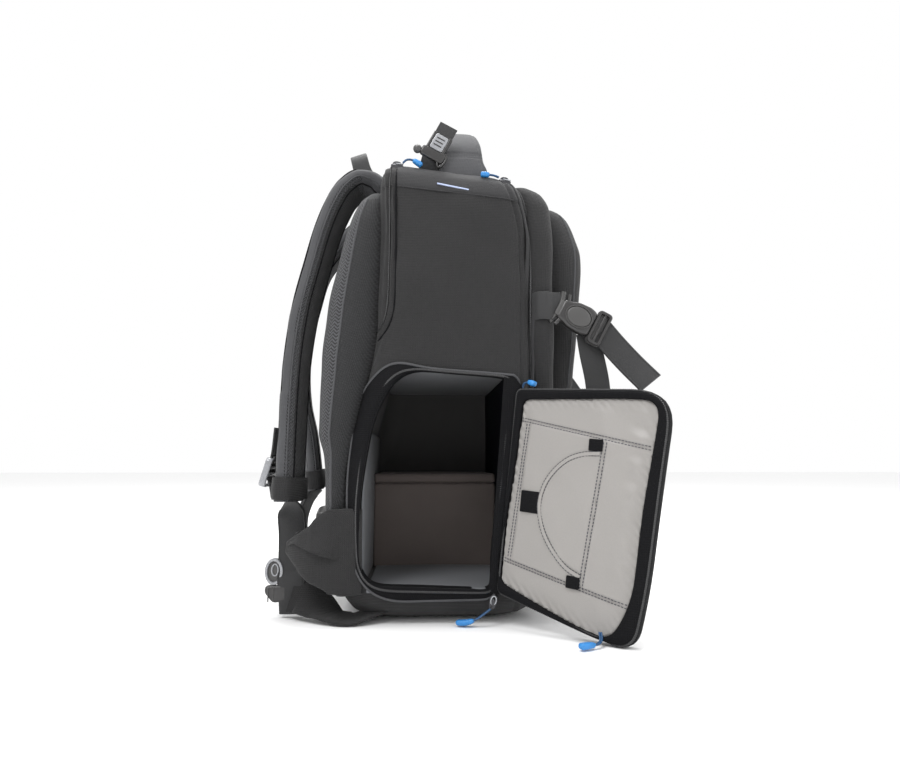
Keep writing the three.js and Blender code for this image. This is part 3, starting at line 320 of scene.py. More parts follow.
# Pulls' paths from the slider to the end, and sliders' places, directions and ups, in millimetres
PULL_PATHS = {
    "laptop_pull": [(-124.8, 48, 464.4), (-125, 44, 467.7), (-125, 39, 467.8), (-124.1, 33, 465.2),
                    (-123.2, 28.4, 462.1)],
    "main_pull": [(-126.6, -52, 449.7), (-127.5, -47, 451.3), (-127.5, -41, 452), (-127.1, -33, 452.3)],
    "door_pull": [(-146.4, -38.3, 17), (-146.7, -31.1, 11.9), (-146.2, -24.2, 7.5), (-144.4, -15.2, 4.6),
                  (-140.9, -6.3, 4)],
    "corner_pull": [(-215, -125, 11.3), (-220.6, -123.9, 6.4), (-224, -120.5, 4.1), (-227.4, -113, 4.1),
                    (-231.5, -103.5, 4.1)],
    "hinge_pull": [(-145.4, -71.6, 227), (-146.2, -73.1, 231.3), (-149.6, -77.5, 232.2),
                   (-154, -82.9, 229.6)],
}
SLIDERS = {
    "laptop_slider": ((-122.9, 54, 461), (0, 1, 0.1), (-0.3, 0, 1)),
    "main_slider": ((-125.6, -58, 444.7), (0, 1, 0.2), (-0.3, 0, 1)),
    "door_slider": ((-140.4, -41.2, 22.4), (-0.2, 0.25, -1), (-1, 0, 0)),
}

SIDES = [("near", -1), ("far", 1)]


# Curves and tables

def read_rows(rows, at):
    """Reads each column of a table smoothly at the places given."""
    table = np.array(rows, float)
    x = table[:, 0]
    i = np.clip(np.searchsorted(x, at, side="right") - 1, 0, len(x) - 2)
    wide = np.diff(x)[i]
    t = np.clip((at - x[i]) / wide, 0, 1)
    columns = []
    for y in table.T[1:]:
        step = np.diff(y) / np.diff(x)
        slope = np.concatenate([step[:1], np.zeros(len(x) - 2), step[-1:]])
        both = step[:-1] * step[1:] > 0
        total = np.where(both, step[:-1] + step[1:], 1)
        slope[1:-1] = np.where(both, 2 * step[:-1] * step[1:] / total, 0)
        columns.append(
            y[i] * (1 + 2 * t) * (1 - t) ** 2 + slope[i] * wide * t * (1 - t) ** 2
            + y[i + 1] * t * t * (3 - 2 * t) + slope[i + 1] * wide * t * t * (t - 1)
        )
    return columns


def curve_at(points, share):
    """Point at a share of the smooth path through the points."""
    last = len(points) - 1
    place = min(max(share, 0), 1) * last
    i = min(int(place), last - 1)
    part = place - i
    b, c = points[i], points[i + 1]
    a = points[i - 1] if i else 2 * b - c
    d = points[i + 2] if i + 2 <= last else 2 * c - b
    knots = [0.0]
    for start, end in ((a, b), (b, c), (c, d)):
        knots.append(knots[-1] + max(np.linalg.norm(end - start), 1e-9) ** 0.5)
    t = knots[1] + part * (knots[2] - knots[1])

    def between(first, second, low, high):
        return (first * (high - t) + second * (t - low)) / (high - low)

    ab = between(a, b, knots[0], knots[1])
    bc = between(b, c, knots[1], knots[2])
    cd = between(c, d, knots[2], knots[3])
    return between(between(ab, bc, knots[0], knots[2]), between(bc, cd, knots[1], knots[3]),
                   knots[1], knots[2])


def smooth_path(points, count):
    """Evenly spaced points on the smooth path through the points given."""
    points = [np.array(point, float) for point in points]
    fine = np.array([curve_at(points, share) for share in np.linspace(0, 1, len(points) * 12)])
    return even_path(fine, count)


def reaches(points):
    """Distances along a chain of points."""
    return np.concatenate([[0], np.cumsum(np.linalg.norm(np.diff(points, axis=0), axis=1))])


def whole(share, count):
    """The whole number that a share of a count comes to."""
    return np.rint(share * count).astype(int)


def even_path(fine, count):
    """Evenly spaced points along a chain of points."""
    reach = reaches(fine)
    places = np.linspace(0, reach[-1], count)
    return np.array([np.interp(places, reach, column) for column in fine.T]).T


def round_corners(corners, along, up, steps=8):
    """A closed outline from corners in shares, each rounded by its radius."""
    points = [np.array(corner[:2]) * [along, up] for corner in corners]
    outline = []
    for i, (here, corner) in enumerate(zip(points, corners)):
        before = points[i - 1] - here
        after = points[(i + 1) % len(points)] - here
        long_before, long_after = np.linalg.norm(before), np.linalg.norm(after)
        reach = min(corner[2] * up, long_before * 0.48, long_after * 0.48)
        start = here + before / long_before * reach
        end = here + after / long_after * reach
        for share in np.linspace(0, 1, steps + 1):
            outline.append(start * (1 - share) ** 2 + here * 2 * share * (1 - share) + end * share ** 2)
    return np.array(outline)


def even_loop(outline, count):
    """Evenly spaced points round a closed outline, the first one repeated at the end."""
    return even_path(np.vstack([outline, outline[:1]]), count + 1)


def nearest(outline, points):
    """A closed outline in fine steps, and the number of the step nearest to each point."""
    fine = even_loop(outline, 2000)[:-1]
    return fine, np.array([np.argmin(np.linalg.norm(fine - point, axis=1)) for point in points])


def unit(vector):
    vector = np.asarray(vector, float)
    return vector / np.linalg.norm(vector)


def unit_rows(vectors):
    return vectors / np.linalg.norm(vectors, axis=1)[:, None]


def settle(points, turns):
    """Evens out a chain of points, in place, with its ends held."""
    for unused in range(turns):
        points[1:-1] = (points[:-2] + points[1:-1] * 2 + points[2:]) / 4


def patch_edge(y):
    """Height of the top patch's lower edge on the body's sides."""
    return PATCH_HEIGHT + (y + PATCH_FRONT) * PATCH_SLOPE


def ripple(a, b, seed, wave):
    """A gentle uneven surface, near -1 to 1, from a few crossing waves."""
    turns = np.random.default_rng(seed).uniform(0, 2 * math.pi, (6, 2))
    total = 0
    for number, (turn, phase) in enumerate(turns):
        pitch = wave * (0.6 + 0.25 * number)
        total = total + np.sin((a * math.cos(turn) + b * math.sin(turn)) * 2 * math.pi / pitch + phase)
    return total / 3


def bump_line(distance, width):
    return np.exp(-(distance / width) ** 2)


def soft_step(value, low, high):
    t = np.clip((value - low) / (high - low), 0, 1)
    return t * t * (3 - 2 * t)


# Mesh making

def skin(columns, rows, place, cover=None, wrap=False, loop=False, caps=True):
    """Lays a grid over a form. place gives the points, and cover the places on the flat cloth.

    A wrapped grid closes on itself one way, and a looped one both ways.
    """
    bm = bmesh.new()
    layer = bm.loops.layers.uv.new("UVMap")
    bmesh.ops.create_grid(bm, x_segments=columns, y_segments=rows, size=0.5)
    shares = np.array([vert.co[:2] for vert in bm.verts]) + 0.5
    shares = np.round(shares * [columns, rows]) / [columns, rows]
    points = place(shares[:, 0], shares[:, 1])
    flat = cover(shares[:, 0], shares[:, 1]) if cover else shares
    for vert, point in zip(bm.verts, points):
        vert.co = point
    for face in bm.faces:
        for corner in face.loops:
            corner[layer].uv = flat[corner.vert.index]
    if wrap or loop:
        bmesh.ops.remove_doubles(bm, verts=bm.verts, dist=2e-6)
    if caps and not loop:
        bmesh.ops.holes_fill(bm, edges=[edge for edge in bm.edges if edge.is_boundary], sides=0)
    bmesh.ops.recalc_face_normals(bm, faces=bm.faces)
    return bm


def section_frames(points, width, thickness, across, samples=8):
    """Centres, directions, half sizes and lengths along a smooth path."""
    points = [np.array(point, float) for point in points]
    last = len(points) - 1
    shares = np.linspace(0, 1, last * samples + 1)
    centre = np.array([curve_at(points, share) for share in shares])
    ahead = np.array([curve_at(points, share + 0.002) for share in shares])
    behind = np.array([curve_at(points, share - 0.002) for share in shares])
    tangent = unit_rows(ahead - behind)
    sides = along_rows(across, last, shares, 3)
    sides = unit_rows(sides - tangent * np.sum(sides * tangent, axis=1)[:, None])
    ups = np.cross(tangent, sides)
    half_width = along_rows(width, last, shares, 1)[:, 0] / 2
    half_thick = along_rows(thickness, last, shares, 1)[:, 0] / 2
    return centre, sides, ups, half_width, half_thick, reaches(centre)


def rounded_turn(turn, power):
    """Place on a rounded square of half size 1; a higher power gives sharper corners."""
    flat = np.sign(np.cos(turn)) * np.abs(np.cos(turn)) ** (2 / power)
    high = np.sign(np.sin(turn)) * np.abs(np.sin(turn)) ** (2 / power)
    return flat, high


def sweep(points, width, thickness, across, power=5, around=16, samples=8, relief=None):
    """Sweeps a rounded flat section along a smooth path. Widths and directions may change along it."""
    frames = section_frames(points, width, thickness, across, samples)
    centre, sides, ups, half_width, half_thick, length = frames
    rows = len(centre) - 1

    def place(u, v):
        i = whole(v, rows)
        flat, high = rounded_turn(u * 2 * math.pi, power)
        x, y = flat * half_width[i], high * half_thick[i]
        if relief:
            x, y = relief(x, y, length[i], half_width[i], half_thick[i])
        return centre[i] + sides[i] * x[:, None] + ups[i] * y[:, None]

    def cover(u, v):
        i = whole(v, rows)
        flat, high = rounded_turn(u * 2 * math.pi, power)
        return np.stack([flat * half_width[i] + high * half_thick[i], length[i]], axis=1)

    return skin(around, rows, place, cover, wrap=True)


def edge_line(frames, x_share, y_share, start=0.0, end=1.0):
    """A line along a swept form at shares of its half sizes, and its outward directions."""
    centre, sides, ups, half_width, half_thick = frames[:5]
    points = centre + sides * (half_width * x_share)[:, None] + ups * (half_thick * y_share)[:, None]
    outward = sides * x_share + ups * y_share
    low, high = int(start * (len(points) - 1)), int(end * (len(points) - 1)) + 1
    return points[low:high], outward[low:high]


def tube(points, ups, size, around=8):
    """A thin round cord along points."""
    tangent = np.gradient(np.array(points), axis=0)
    return sweep(points, size, size, np.cross(ups, tangent), power=2, around=around, samples=1)


def rim_bar(outline, origin, along, across, width, thickness, count=64, around=12):
    """A closed bar of rounded section that follows an outline in two directions."""
    along, across = unit(along), unit(across)
    normal = np.cross(along, across)
    line = even_loop(outline, count)[:-1]
    ahead = unit_rows(np.roll(line, -1, axis=0) - np.roll(line, 1, axis=0))
    aside = np.stack([ahead[:, 1], -ahead[:, 0]], axis=1)
    origin = np.array(origin, float)

    def place(u, v):
        i = whole(v, count) % count
        flat, high = rounded_turn(u * 2 * math.pi, 3.5)
        spot = line[i] + aside[i] * (flat * width / 2)[:, None]
        return origin + spot[:, :1] * along + spot[:, 1:] * across + (high * thickness / 2)[:, None] * normal

    return skin(around, count, place, loop=True)


def along_rows(value, last, shares, size):
    """Spreads one value, or one for each row of a path, along its shares."""
    values = np.array(value, float)
    if values.size == size:
        return np.tile(values.reshape(1, size), (len(shares), 1))
    values = values.reshape(last + 1, size)
    return np.array([np.interp(shares * last, np.arange(last + 1), column) for column in values.T]).T


def plate(outline, origin, along, across, thickness, rounding=0.3, segments=3):
    """A flat piece with rounded rims, from an outline in two directions."""
    along, across = unit(along), unit(across)
    normal = np.cross(along, across)
    bm = bmesh.new()
    base = np.array(origin, float) - normal * thickness / 2
    verts = [bm.verts.new(base + along * x + across * y) for x, y in outline]
    face = bm.faces.new(verts)
    grown = bmesh.ops.extrude_face_region(bm, geom=[face])
    lifted = [item for item in grown["geom"] if isinstance(item, bmesh.types.BMVert)]
    bmesh.ops.translate(bm, verts=lifted, vec=Vector(normal * thickness))
    bmesh.ops.recalc_face_normals(bm, faces=bm.faces)
    flat = Vector(normal)
    rims = [edge for edge in bm.edges
            if sum(abs(near.normal.dot(flat)) > 0.99 for near in edge.link_faces) == 1]
    if rounding:
        bmesh.ops.bevel(bm, geom=rims, offset=thickness * rounding, segments=segments, profile=0.5,
                        affect="EDGES", material=-1, clamp_overlap=True)
    return bm


def rounded_rectangle(length, width, radius, steps=5):
    """Outline from 0 to the length, centred across its width."""
    corners = [(0, -width / 2, radius), (length, -width / 2, radius),
               (length, width / 2, radius), (0, width / 2, radius)]
    return round_corners(corners, 1, 1, steps)


def oval(length, width, count=28):
    turns = np.arange(count) / count * 2 * math.pi
    return np.c_[np.cos(turns) * length / 2, np.sin(turns) * width / 2]


def add_to(bm, part, finish=0):
    """Adds one mesh to another with a material of its own."""
    for face in part.faces:
        face.material_index = finish
    mesh = bpy.data.meshes.new("part")
    part.to_mesh(mesh)
    part.free()
    bm.from_mesh(mesh)
    bpy.data.meshes.remove(mesh)
    return bm


def joined(*parts):
    """One mesh from parts and the numbers of their materials."""
    bm = bmesh.new()
    bm.loops.layers.uv.new("UVMap")
    for part, finish in parts:
        add_to(bm, part, finish)
    return bm


def finished(name, bm, finishes, angle=50):
    """Makes the mesh an object with smooth faces and its materials."""
    mesh = bpy.data.meshes.new(name)
    bm.to_mesh(mesh)
    bm.free()
    piece = bpy.data.objects.new(name, mesh)
    bpy.context.scene.collection.objects.link(piece)
    for finish in finishes:
        mesh.materials.append(finish_of(finish))
    smooth_faces(mesh, angle)
    return piece


def smooth_faces(mesh, angle=50):
    """Shades a mesh smooth, but for edges sharper than an angle in degrees."""
    mesh.shade_smooth()
    mesh.set_sharp_from_angle(angle=math.radians(angle))


def cut(piece, other, operation):
    """Cuts or trims a closed piece by another closed one."""
    modifier = piece.modifiers.new("cut", "BOOLEAN")
    modifier.operation = operation
    modifier.solver = "MANIFOLD"
    modifier.object = other
    graph = bpy.context.evaluated_depsgraph_get()
    mesh = bpy.data.meshes.new_from_object(piece.evaluated_get(graph))
    piece.modifiers.clear()
    old = piece.data
    piece.data = mesh
    bpy.data.meshes.remove(old)
    smooth_faces(mesh)


def dress(piece, slot, *nodes):
    """Makes a piece ride on the bag in place of nodes. The slot is not used."""
    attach(piece, "root")
    if nodes:
        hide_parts(*nodes)
    return piece


def fit(name, bm, finishes, slot, *nodes, angle=50):
    """Finishes a mesh and dresses the bag with it."""
    return dress(finished(name, bm, finishes, angle), slot, *nodes)


def fit_web(name, bm, node):
    """Dresses the bag with a length of webbing."""
    fit(name, bm, ["strap_webbing"], "webbing", node)


def stitches(bm, points, ups, pitch, length=1.9 * MM, width=0.7 * MM, height=0.5 * MM):
    """Lays short threads along a chain of points."""
    points = np.array(points)
    reach = reaches(points)
    count = max(2, int(reach[-1] / pitch))
    for place in (np.arange(count) + 0.5) * reach[-1] / count:
        i = min(max(int(np.searchsorted(reach, place)) - 1, 0), len(points) - 2)
        share = (place - reach[i]) / max(reach[i + 1] - reach[i], 1e-9)
        here = points[i] * (1 - share) + points[i + 1] * share
        along = unit(points[i + 1] - points[i])
        up = np.array(ups if np.ndim(ups) == 1 else ups[i], float)
        side = unit(np.cross(up, along))
        up = np.cross(along, side)
        turn = Matrix((
            (along[0] * length, side[0] * width, up[0] * height, here[0]),
            (along[1] * length, side[1] * width, up[1] * height, here[1]),
            (along[2] * length, side[2] * width, up[2] * height, here[2]),
            (0, 0, 0, 1),
        ))
        bmesh.ops.create_cube(bm, size=1, matrix=turn)
    return bm


class Surface:
    """Finds places on a mesh's outside."""

    def __init__(self, bm):
        self.tree = BVHTree.FromBMesh(bm)

    def cast(self, start, direction, lift=0.0):
        hit, normal = self.tree.ray_cast(Vector(start), Vector(direction))[:2]
        if hit is None:
            hit, normal = self.tree.find_nearest(Vector(start))[:2]
        if normal.dot(Vector(direction)) > 0:
            normal = -normal
        return np.array(hit + normal * lift), np.array(normal)

    def side(self, y, z, lift=0.0, side=-1):
        return self.cast((side * 0.4, y, z), (-side, 0, 0), lift)

    def lay(self, along, high, lift, side=-1):
        """A line laid on one side, and its outward directions."""
        line = [self.side(y, z, lift, side) for y, z in zip(along, high)]
        return np.array([spot for spot, normal in line]), np.array([normal for spot, normal in line])

    def top(self, x, y, lift=0.0):
        return self.cast((x, y, 0.8), (0, 0, -1), lift)


# Materials

class Shade:
    """A socket whose sums and products are Math nodes."""

    def __init__(self, finish, socket):
        self.finish = finish
        self.socket = socket

    def math(self, operation, first, second):
        return self.finish.math(operation, first, second)

    def __add__(self, other):
        return self.math("ADD", self, other)

    __radd__ = __add__

    def __sub__(self, other):
        return self.math("SUBTRACT", self, other)

    def __mul__(self, other):
        return self.math("MULTIPLY", self, other)

    __rmul__ = __mul__


class Finish:
    """A material and its nodes."""

    def __init__(self, name):
        self.material = bpy.data.materials.new(name)
        self.material.use_nodes = True
        self.tree = self.material.node_tree
        self.shader = self.tree.nodes["Principled BSDF"]

    def node(self, kind, settings=None, sockets=None, out=0):
        made = self.tree.nodes.new(kind)
        for name, value in (settings or {}).items():
            setattr(made, name, value)
        for name, value in (sockets or {}).items():
            self.feed(made.inputs[name], value)
        return Shade(self, made.outputs[out])

    def feed(self, socket, value):
        if isinstance(value, Shade):
            self.tree.links.new(value.socket, socket)
        else:
            socket.default_value = value

    def set(self, **values):
        for name, value in values.items():
            self.feed(self.shader.inputs[name.replace("_", " ").title().replace("Ior", "IOR")], value)
        return self.material

    def math(self, operation, *values):
        return self.node("ShaderNodeMath", {"operation": operation}, dict(enumerate(values)))

    def place(self):
        return self.node("ShaderNodeTexCoord", out="Object")

    def axes(self, vector):
        parts = self.node("ShaderNodeSeparateXYZ", None, {"Vector": vector})
        made = parts.socket.node
        return [Shade(self, made.outputs[i]) for i in range(3)]

    def sine(self, value):
        return self.math("SINE", value)

    def noise(self, vector, scale, detail=3.0, rough=0.55):
        return self.node("ShaderNodeTexNoise", None, {
            "Vector": vector, "Scale": scale, "Detail": detail, "Roughness": rough,
        })

    def stretched(self, vector, scale):
        return self.node("ShaderNodeMapping", None, {"Vector": vector, "Scale": scale})

    def triangle(self, value, width):
        """Rises and falls between 0 and half the width."""
        return self.math("PINGPONG", value, width / 2)

    def shades(self, factor, colour, dark, light):
        """Mixes a darker and a lighter shade of a colour."""
        first, second = ([min(part * share, 1) for part in colour] + [1] for share in (dark, light))
        return self.node("ShaderNodeMix", {"data_type": "RGBA"}, {0: factor, 6: first, 7: second}, out=2)

    def relief(self, height, depth, strength=1.0):
        return self.node("ShaderNodeBump", None, {"Height": height, "Distance": depth, "Strength": strength})


def weave_finish(name, colour, depth, coarse=1, sheen=0.08, gloss=0.4, contrast=0.3):
    """Plain woven cloth: threads both ways, a slubby yarn and a faint soiling."""
    finish = Finish(name)
    place = finish.place()
    x, y, z = finish.axes(place)
    turns = 2 * math.pi / (bpy.context.scene.backpack_looks.weave_pitch * coarse)
    warp = finish.sine((x + y) * turns)
    weft = finish.sine(z * turns)
    slub = finish.noise(finish.stretched(place, (1, 1, 0.12)), 900)
    slub_weft = finish.noise(finish.stretched(place, (0.15, 0.15, 1)), 800)
    soil = finish.noise(place, 14, 4)
    height = warp * 0.25 + weft * 0.25 + slub * 0.9 + slub_weft * 0.5
    tone = (slub * 0.6 + slub_weft * 0.4 - 0.5) * contrast * 2.2 + (soil - 0.5) * 0.5 + 0.5
    return finish.set(
        base_color=finish.shades(tone, colour, 0.6, 1.5),
        roughness=soil * 0.16 + 0.77,
        specular_ior_level=gloss,
        sheen_weight=sheen,
        sheen_roughness=0.45,
        normal=finish.relief(height, depth),
    )


def webbing_finish(name, colour, pitch=1.3 * MM, rib=1.6 * MM):
    """Woven strap: a fine chevron weave, a little paler where it is rubbed."""
    finish = Finish(name)
    flat = finish.node("ShaderNodeTexCoord", out="UV")
    across, along, unused = finish.axes(flat)
    fold = finish.triangle(across, rib)
    threads = finish.sine((along + fold) * (2 * math.pi / pitch))
    grain = finish.noise(finish.place(), 420)
    wear = finish.noise(finish.place(), 24, 3)
    tone = threads * 0.07 + (grain - 0.5) * 0.5 + (wear - 0.5) * 0.5 + 0.5
    return finish.set(
        base_color=finish.shades(tone, colour, 0.7, 1.4),
        roughness=grain * 0.15 + 0.62,
        sheen_weight=0.12,
        normal=finish.relief(threads * 0.4 + grain * 0.5, 0.16 * MM),
    )


def mesh_finish(name, colour, pitch=2.6 * MM, depth=0.7 * MM):
    """Spacer mesh: slanting rows of small holes in a raised knit."""
    finish = Finish(name)
    place = finish.place()
    x, y, z = finish.axes(place)
    turns = 2 * math.pi / pitch
    flat = x * 0.7 + y
    rows = finish.sine((flat + z * 0.6) * turns)
    columns = finish.sine((flat * 0.6 - z) * turns)
    grain = finish.noise(place, 700)
    knit = rows * columns
    return finish.set(
        base_color=finish.shades(knit * 0.5 + 0.5, colour, 0.2, 1.7),
        roughness=grain * 0.1 + 0.84,
        sheen_weight=0.12,
        normal=finish.relief(knit * 0.5 + grain * 0.3, depth),
    )


def braid_finish(name, colour, pitch=3.4 * MM, column=6.5 * MM):
    """Zigzag knit in upright columns, with gaps that show dark. Its light shade is raised far, as painted
    light for the straps' inner faces that turn up to the light.
    """
    finish = Finish(name)
    flat = finish.node("ShaderNodeTexCoord", out="UV")
    across, along, unused = finish.axes(flat)
    fold = finish.triangle(across, column)
    wave = finish.sine((along + fold * 1.1) * (2 * math.pi / pitch))
    grain = finish.noise(finish.place(), 600)
    return finish.set(
        # The light shade at five times the colour is painted light
        base_color=finish.shades(wave * 0.5 + 0.5, colour, 0.2, 5.0),
        roughness=grain * 0.1 + 0.78,
        sheen_weight=0.12,
        normal=finish.relief(wave * 0.5 + grain * 0.25, 0.8 * MM),
    )


def lining_finish(name, colour, rough=0.7, sheen=0.08, depth=0.12 * MM, sweep_tone=0.35, gloss=0.25):
    """Brushed or satin lining with a faint cloudy tone."""
    finish = Finish(name)
    place = finish.place()
    cloud = finish.noise(place, 9, 3)
    grain = finish.noise(place, 850, 2)
    tone = (cloud - 0.5) * sweep_tone * 2 + (grain - 0.5) * 0.35 + 0.5
    return finish.set(
        base_color=finish.shades(tone, colour, 0.82, 1.14),
        roughness=grain * 0.14 + (rough - 0.07),
        specular_ior_level=gloss,
        sheen_weight=sheen,
        sheen_roughness=0.5,
        normal=finish.relief(grain + finish.noise(place, 60) * 1.5, depth),
    )


def plastic_finish(name, colour, rough=0.35, coat=0.2, metal=0.0):
    """Moulded plastic or cast metal with a fine spark-eroded grain and rubbed patches."""
    finish = Finish(name)
    place = finish.place()
    grain = finish.noise(place, 1600, 2)
    rub = finish.noise(place, 90, 3)
    return finish.set(
        base_color=finish.shades(rub, colour, 0.85, 1.2),
        roughness=rub * 0.18 + (rough - 0.09),
        metallic=metal,
        coat_weight=coat,
        coat_roughness=0.25,
        normal=finish.relief(grain, 0.05 * MM),
    )


def pull_finish(name, colour):
    """Moulded rubbery pull with a soft mottled blue."""
    finish = Finish(name)
    place = finish.place()
    mottle = finish.noise(place, 160, 3)
    return finish.set(
        base_color=finish.shades(mottle, colour, 0.75, 1.25),
        roughness=mottle * 0.2 + 0.38,
        coat_weight=0.12,
        normal=finish.relief(finish.noise(place, 1100), 0.06 * MM),
    )


def floor_finish(name, colour):
    finish = Finish(name)
    tone = finish.noise(finish.place(), 3, 2)
    return finish.set(
        base_color=finish.shades(tone, colour, 0.99, 1.01),
        roughness=0.9,
    )


# Finishes: what makes each one, its colour among the looks, and its settings
FINISHES = {
    "body_cloth": (weave_finish, "cloth", {"depth": 0.35 * MM}),
    "smooth_cloth": (weave_finish, "patch", {"depth": 0.16 * MM, "contrast": 0.16}),
    # top_cloth: a smoother cloth of its own, its lighter colour partly painted light for the top's upward
    # faces
    "top_cloth": (weave_finish, "top", {"depth": 0.2 * MM, "contrast": 0.2}),
    "binding_cloth": (weave_finish, "binding", {"depth": 0.3 * MM, "coarse": 1.2, "sheen": 0, "gloss": 0.18}),
    "strap_webbing": (webbing_finish, "webbing", {}),
    # spacer_mesh: real mesh, kept dark as painted shade
    "spacer_mesh": (mesh_finish, "mesh", {}),
    # braid_mesh: a real zigzag knit, drawn lighter as painted light
    "braid_mesh": (braid_finish, "mesh", {}),
    "bay_lining": (lining_finish, "bay", {}),
    "bay_light": (lining_finish, "bay_light", {}),
    "bay_dark": (lining_finish, "bay_dark", {"gloss": 0.1, "sheen": 0}),
    "bay_divider": (lining_finish, "divider", {"sweep_tone": 0.8}),
    "door_lining": (lining_finish, "door", {"rough": 0.42, "sheen": 0.1, "sweep_tone": 0.2,
                                            "depth": 0.06 * MM, "gloss": 0.5}),
    "dark_plastic": (plastic_finish, "plastic", {}),
    "grey_plastic": (plastic_finish, "locks", {"rough": 0.18, "coat": 0.9}),
    "slider_metal": (plastic_finish, "slider", {"rough": 0.3, "metal": 0.8}),
    "bright_metal": (plastic_finish, "ring", {"rough": 0.25, "metal": 0.9}),
    "zip_teeth": (plastic_finish, "teeth", {"rough": 0.45}),
    "blue_pull": (pull_finish, "pull", {}),
    "seam_thread": (plastic_finish, "thread", {"rough": 0.8, "coat": 0}),
    "pale_thread": (plastic_finish, "tack", {"rough": 0.6, "coat": 0}),
    "worn_plastic": (plastic_finish, "worn", {"rough": 0.5, "coat": 0.1}),
    "pull_cord": (plastic_finish, "cord", {"rough": 0.5, "coat": 0.1}),
    "pale_floor": (floor_finish, "floor", {}),
}
MADE = {}


def finish_of(name):
    """The material of that name, made when it is first asked for."""
    if name not in MADE:
        maker, look, settings = FINISHES[name]
        MADE[name] = maker(name, getattr(bpy.context.scene.backpack_looks, look), **settings)
    return MADE[name]


# Forms that several pieces share

ROUND_SHARES = (0.04, 0.10, 0.06, 0.42, 0.12, 0.10, 0.04, 0.12)
EVEN_SHARES = (0.05, 0.20, 0.05, 0.20, 0.05, 0.20, 0.05, 0.20)
BACK_SHARES = (0.14, 0.26, 0.14, 0.06, 0.04, 0.26, 0.04, 0.06)
FRONT_SHARES = (0.04, 0.22, 0.04, 0.10, 0.12, 0.26, 0.12, 0.10)
BACK_LENGTHS = np.cumsum([0, 31, 230, 31, 4, 20, 230, 20, 4]) * MM
FRONT_LENGTHS = np.cumsum([0, 20, 200, 20, 20, 30, 200, 30, 20]) * MM


def plan_point(u, back, front, half, corner, shares):
    """Point and outward direction at share u round a rounded rectangle, from its far back corner."""
    radius = np.minimum(corner, np.minimum(half * 0.98, (back - front) * 0.49))
    stops = np.concatenate([[0], np.cumsum(shares)])
    part = np.clip(np.searchsorted(stops, u, side="right") - 1, 0, 7)
    t = (u - stops[part]) / np.diff(stops)[part]
    quarter = part // 2
    straight = part % 2 == 1
    turn = np.where(straight, quarter + 1, quarter + t) * math.pi / 2
    t = np.where(straight, t, 0)
    right = (half - radius) * np.array([1, -1, -1, 1, 1])[quarter]
    next_right = (half - radius) * np.array([1, -1, -1, 1, 1])[quarter + 1]
    rear, fore = back - radius, front + radius
    deep = np.where(quarter < 2, rear, fore)
    next_deep = np.where((quarter == 0) | (quarter == 3), rear, fore)
    x = right * (1 - t) + next_right * t + radius * np.cos(turn)
    y = deep * (1 - t) + next_deep * t + radius * np.sin(turn)
    return x, y, np.cos(turn), np.sin(turn)


def body_relief(x, y, z, out_x):
    """How far the body's cloth stands proud: seams, zip beds, the top patch and soft wrinkles."""
    on_side = soft_step(np.abs(out_x), 0.1, 0.6)
    rear = np.interp(z, REAR_SEAM[:, 1], REAR_SEAM[:, 0])
    zip_rear = np.interp(z, LAPTOP_ZIP[:, 1], LAPTOP_ZIP[:, 0])
    gusset = np.interp(z, GUSSET_SEAM[:, 1], GUSSET_SEAM[:, 0])
    main = np.interp(z, MAIN_ZIP[:, 1], MAIN_ZIP[:, 0])
    upper = soft_step(z, 0.276, 0.292)
    depth = -1.1 * MM * bump_line(y - rear, 1.4 * MM)
    depth -= 1.4 * MM * bump_line(y - gusset, 1.2 * MM) * upper
    depth -= 1.6 * MM * bump_line(y - zip_rear, 1.3 * MM) * upper
    depth += 1.6 * MM * bump_line(y - (zip_rear + rear) / 2, 2.4 * MM) * upper
    depth += 1.6 * MM * bump_line(y - (zip_rear + gusset) / 2, 2.2 * MM) * upper
    depth -= 1.5 * MM * bump_line(y - main - 11 * MM, 1.3 * MM)
    depth += 1.2 * MM * bump_line(y - main - 7 * MM, 3.0 * MM)
    patch = patch_edge(y)
    depth += 0.9 * MM * soft_step(z, patch, patch + 1.5 * MM)
    wrinkle = bpy.context.scene.backpack_looks.wrinkle_depth
    depth += wrinkle * ripple(y * 0.7, z, 3, 0.11) * soft_step(z, 0.24, 0.30)
    depth += wrinkle * 0.6 * ripple(y + x, z * 0.6, 5, 0.05)
    return depth * on_side


def body_skin(grow=0.0, columns=280, rows=230, detail=True):
    """The bag's outer cloth as a closed skin."""
    stops = (0, 0.05, 0.16, 0.80, 0.93, 1)
    heights = (0, 0, 0.07, 0.86, 1, 1)
    shrink = (0.03, 1, 1, 1, 1, 0.03)

    def place(u, v):
        at = np.interp(v, stops, heights)
        back, front, half, corner, slope = read_rows(BODY_SECTIONS, at)
        x, y, out_x, out_y = plan_point(u, back * BODY_DEPTH + grow, front * BODY_DEPTH - grow,
                                        half * BODY_WIDTH / 2 + grow, corner * BODY_CORNER + grow,
                                        ROUND_SHARES)
        scale = np.interp(v, stops, shrink)
        middle = (back + front) / 2 * BODY_DEPTH
        x, y = x * scale, middle + (y - middle) * scale
        z = at * BODY_HEIGHT + slope * y
        z = z + np.where(v > 0.93, 3 * MM * np.sqrt(np.clip(1 - scale, 0, 1)), 0)
        if detail:
            depth = body_relief(x, y, z, out_x) * np.where(scale < 1, 0, 1)
            x, y = x + out_x * depth, y + out_y * depth
            flat_top = np.where(v > 0.93, 1, 0)
            z = z + flat_top * 1.2 * MM * ripple(x, y, 7, 0.09) * (1 - scale)
        return np.c_[x, y, z]

    def cover(u, v):
        return np.c_[u * 0.9, v * BODY_HEIGHT]

    return skin(columns, rows, place, cover, wrap=True)


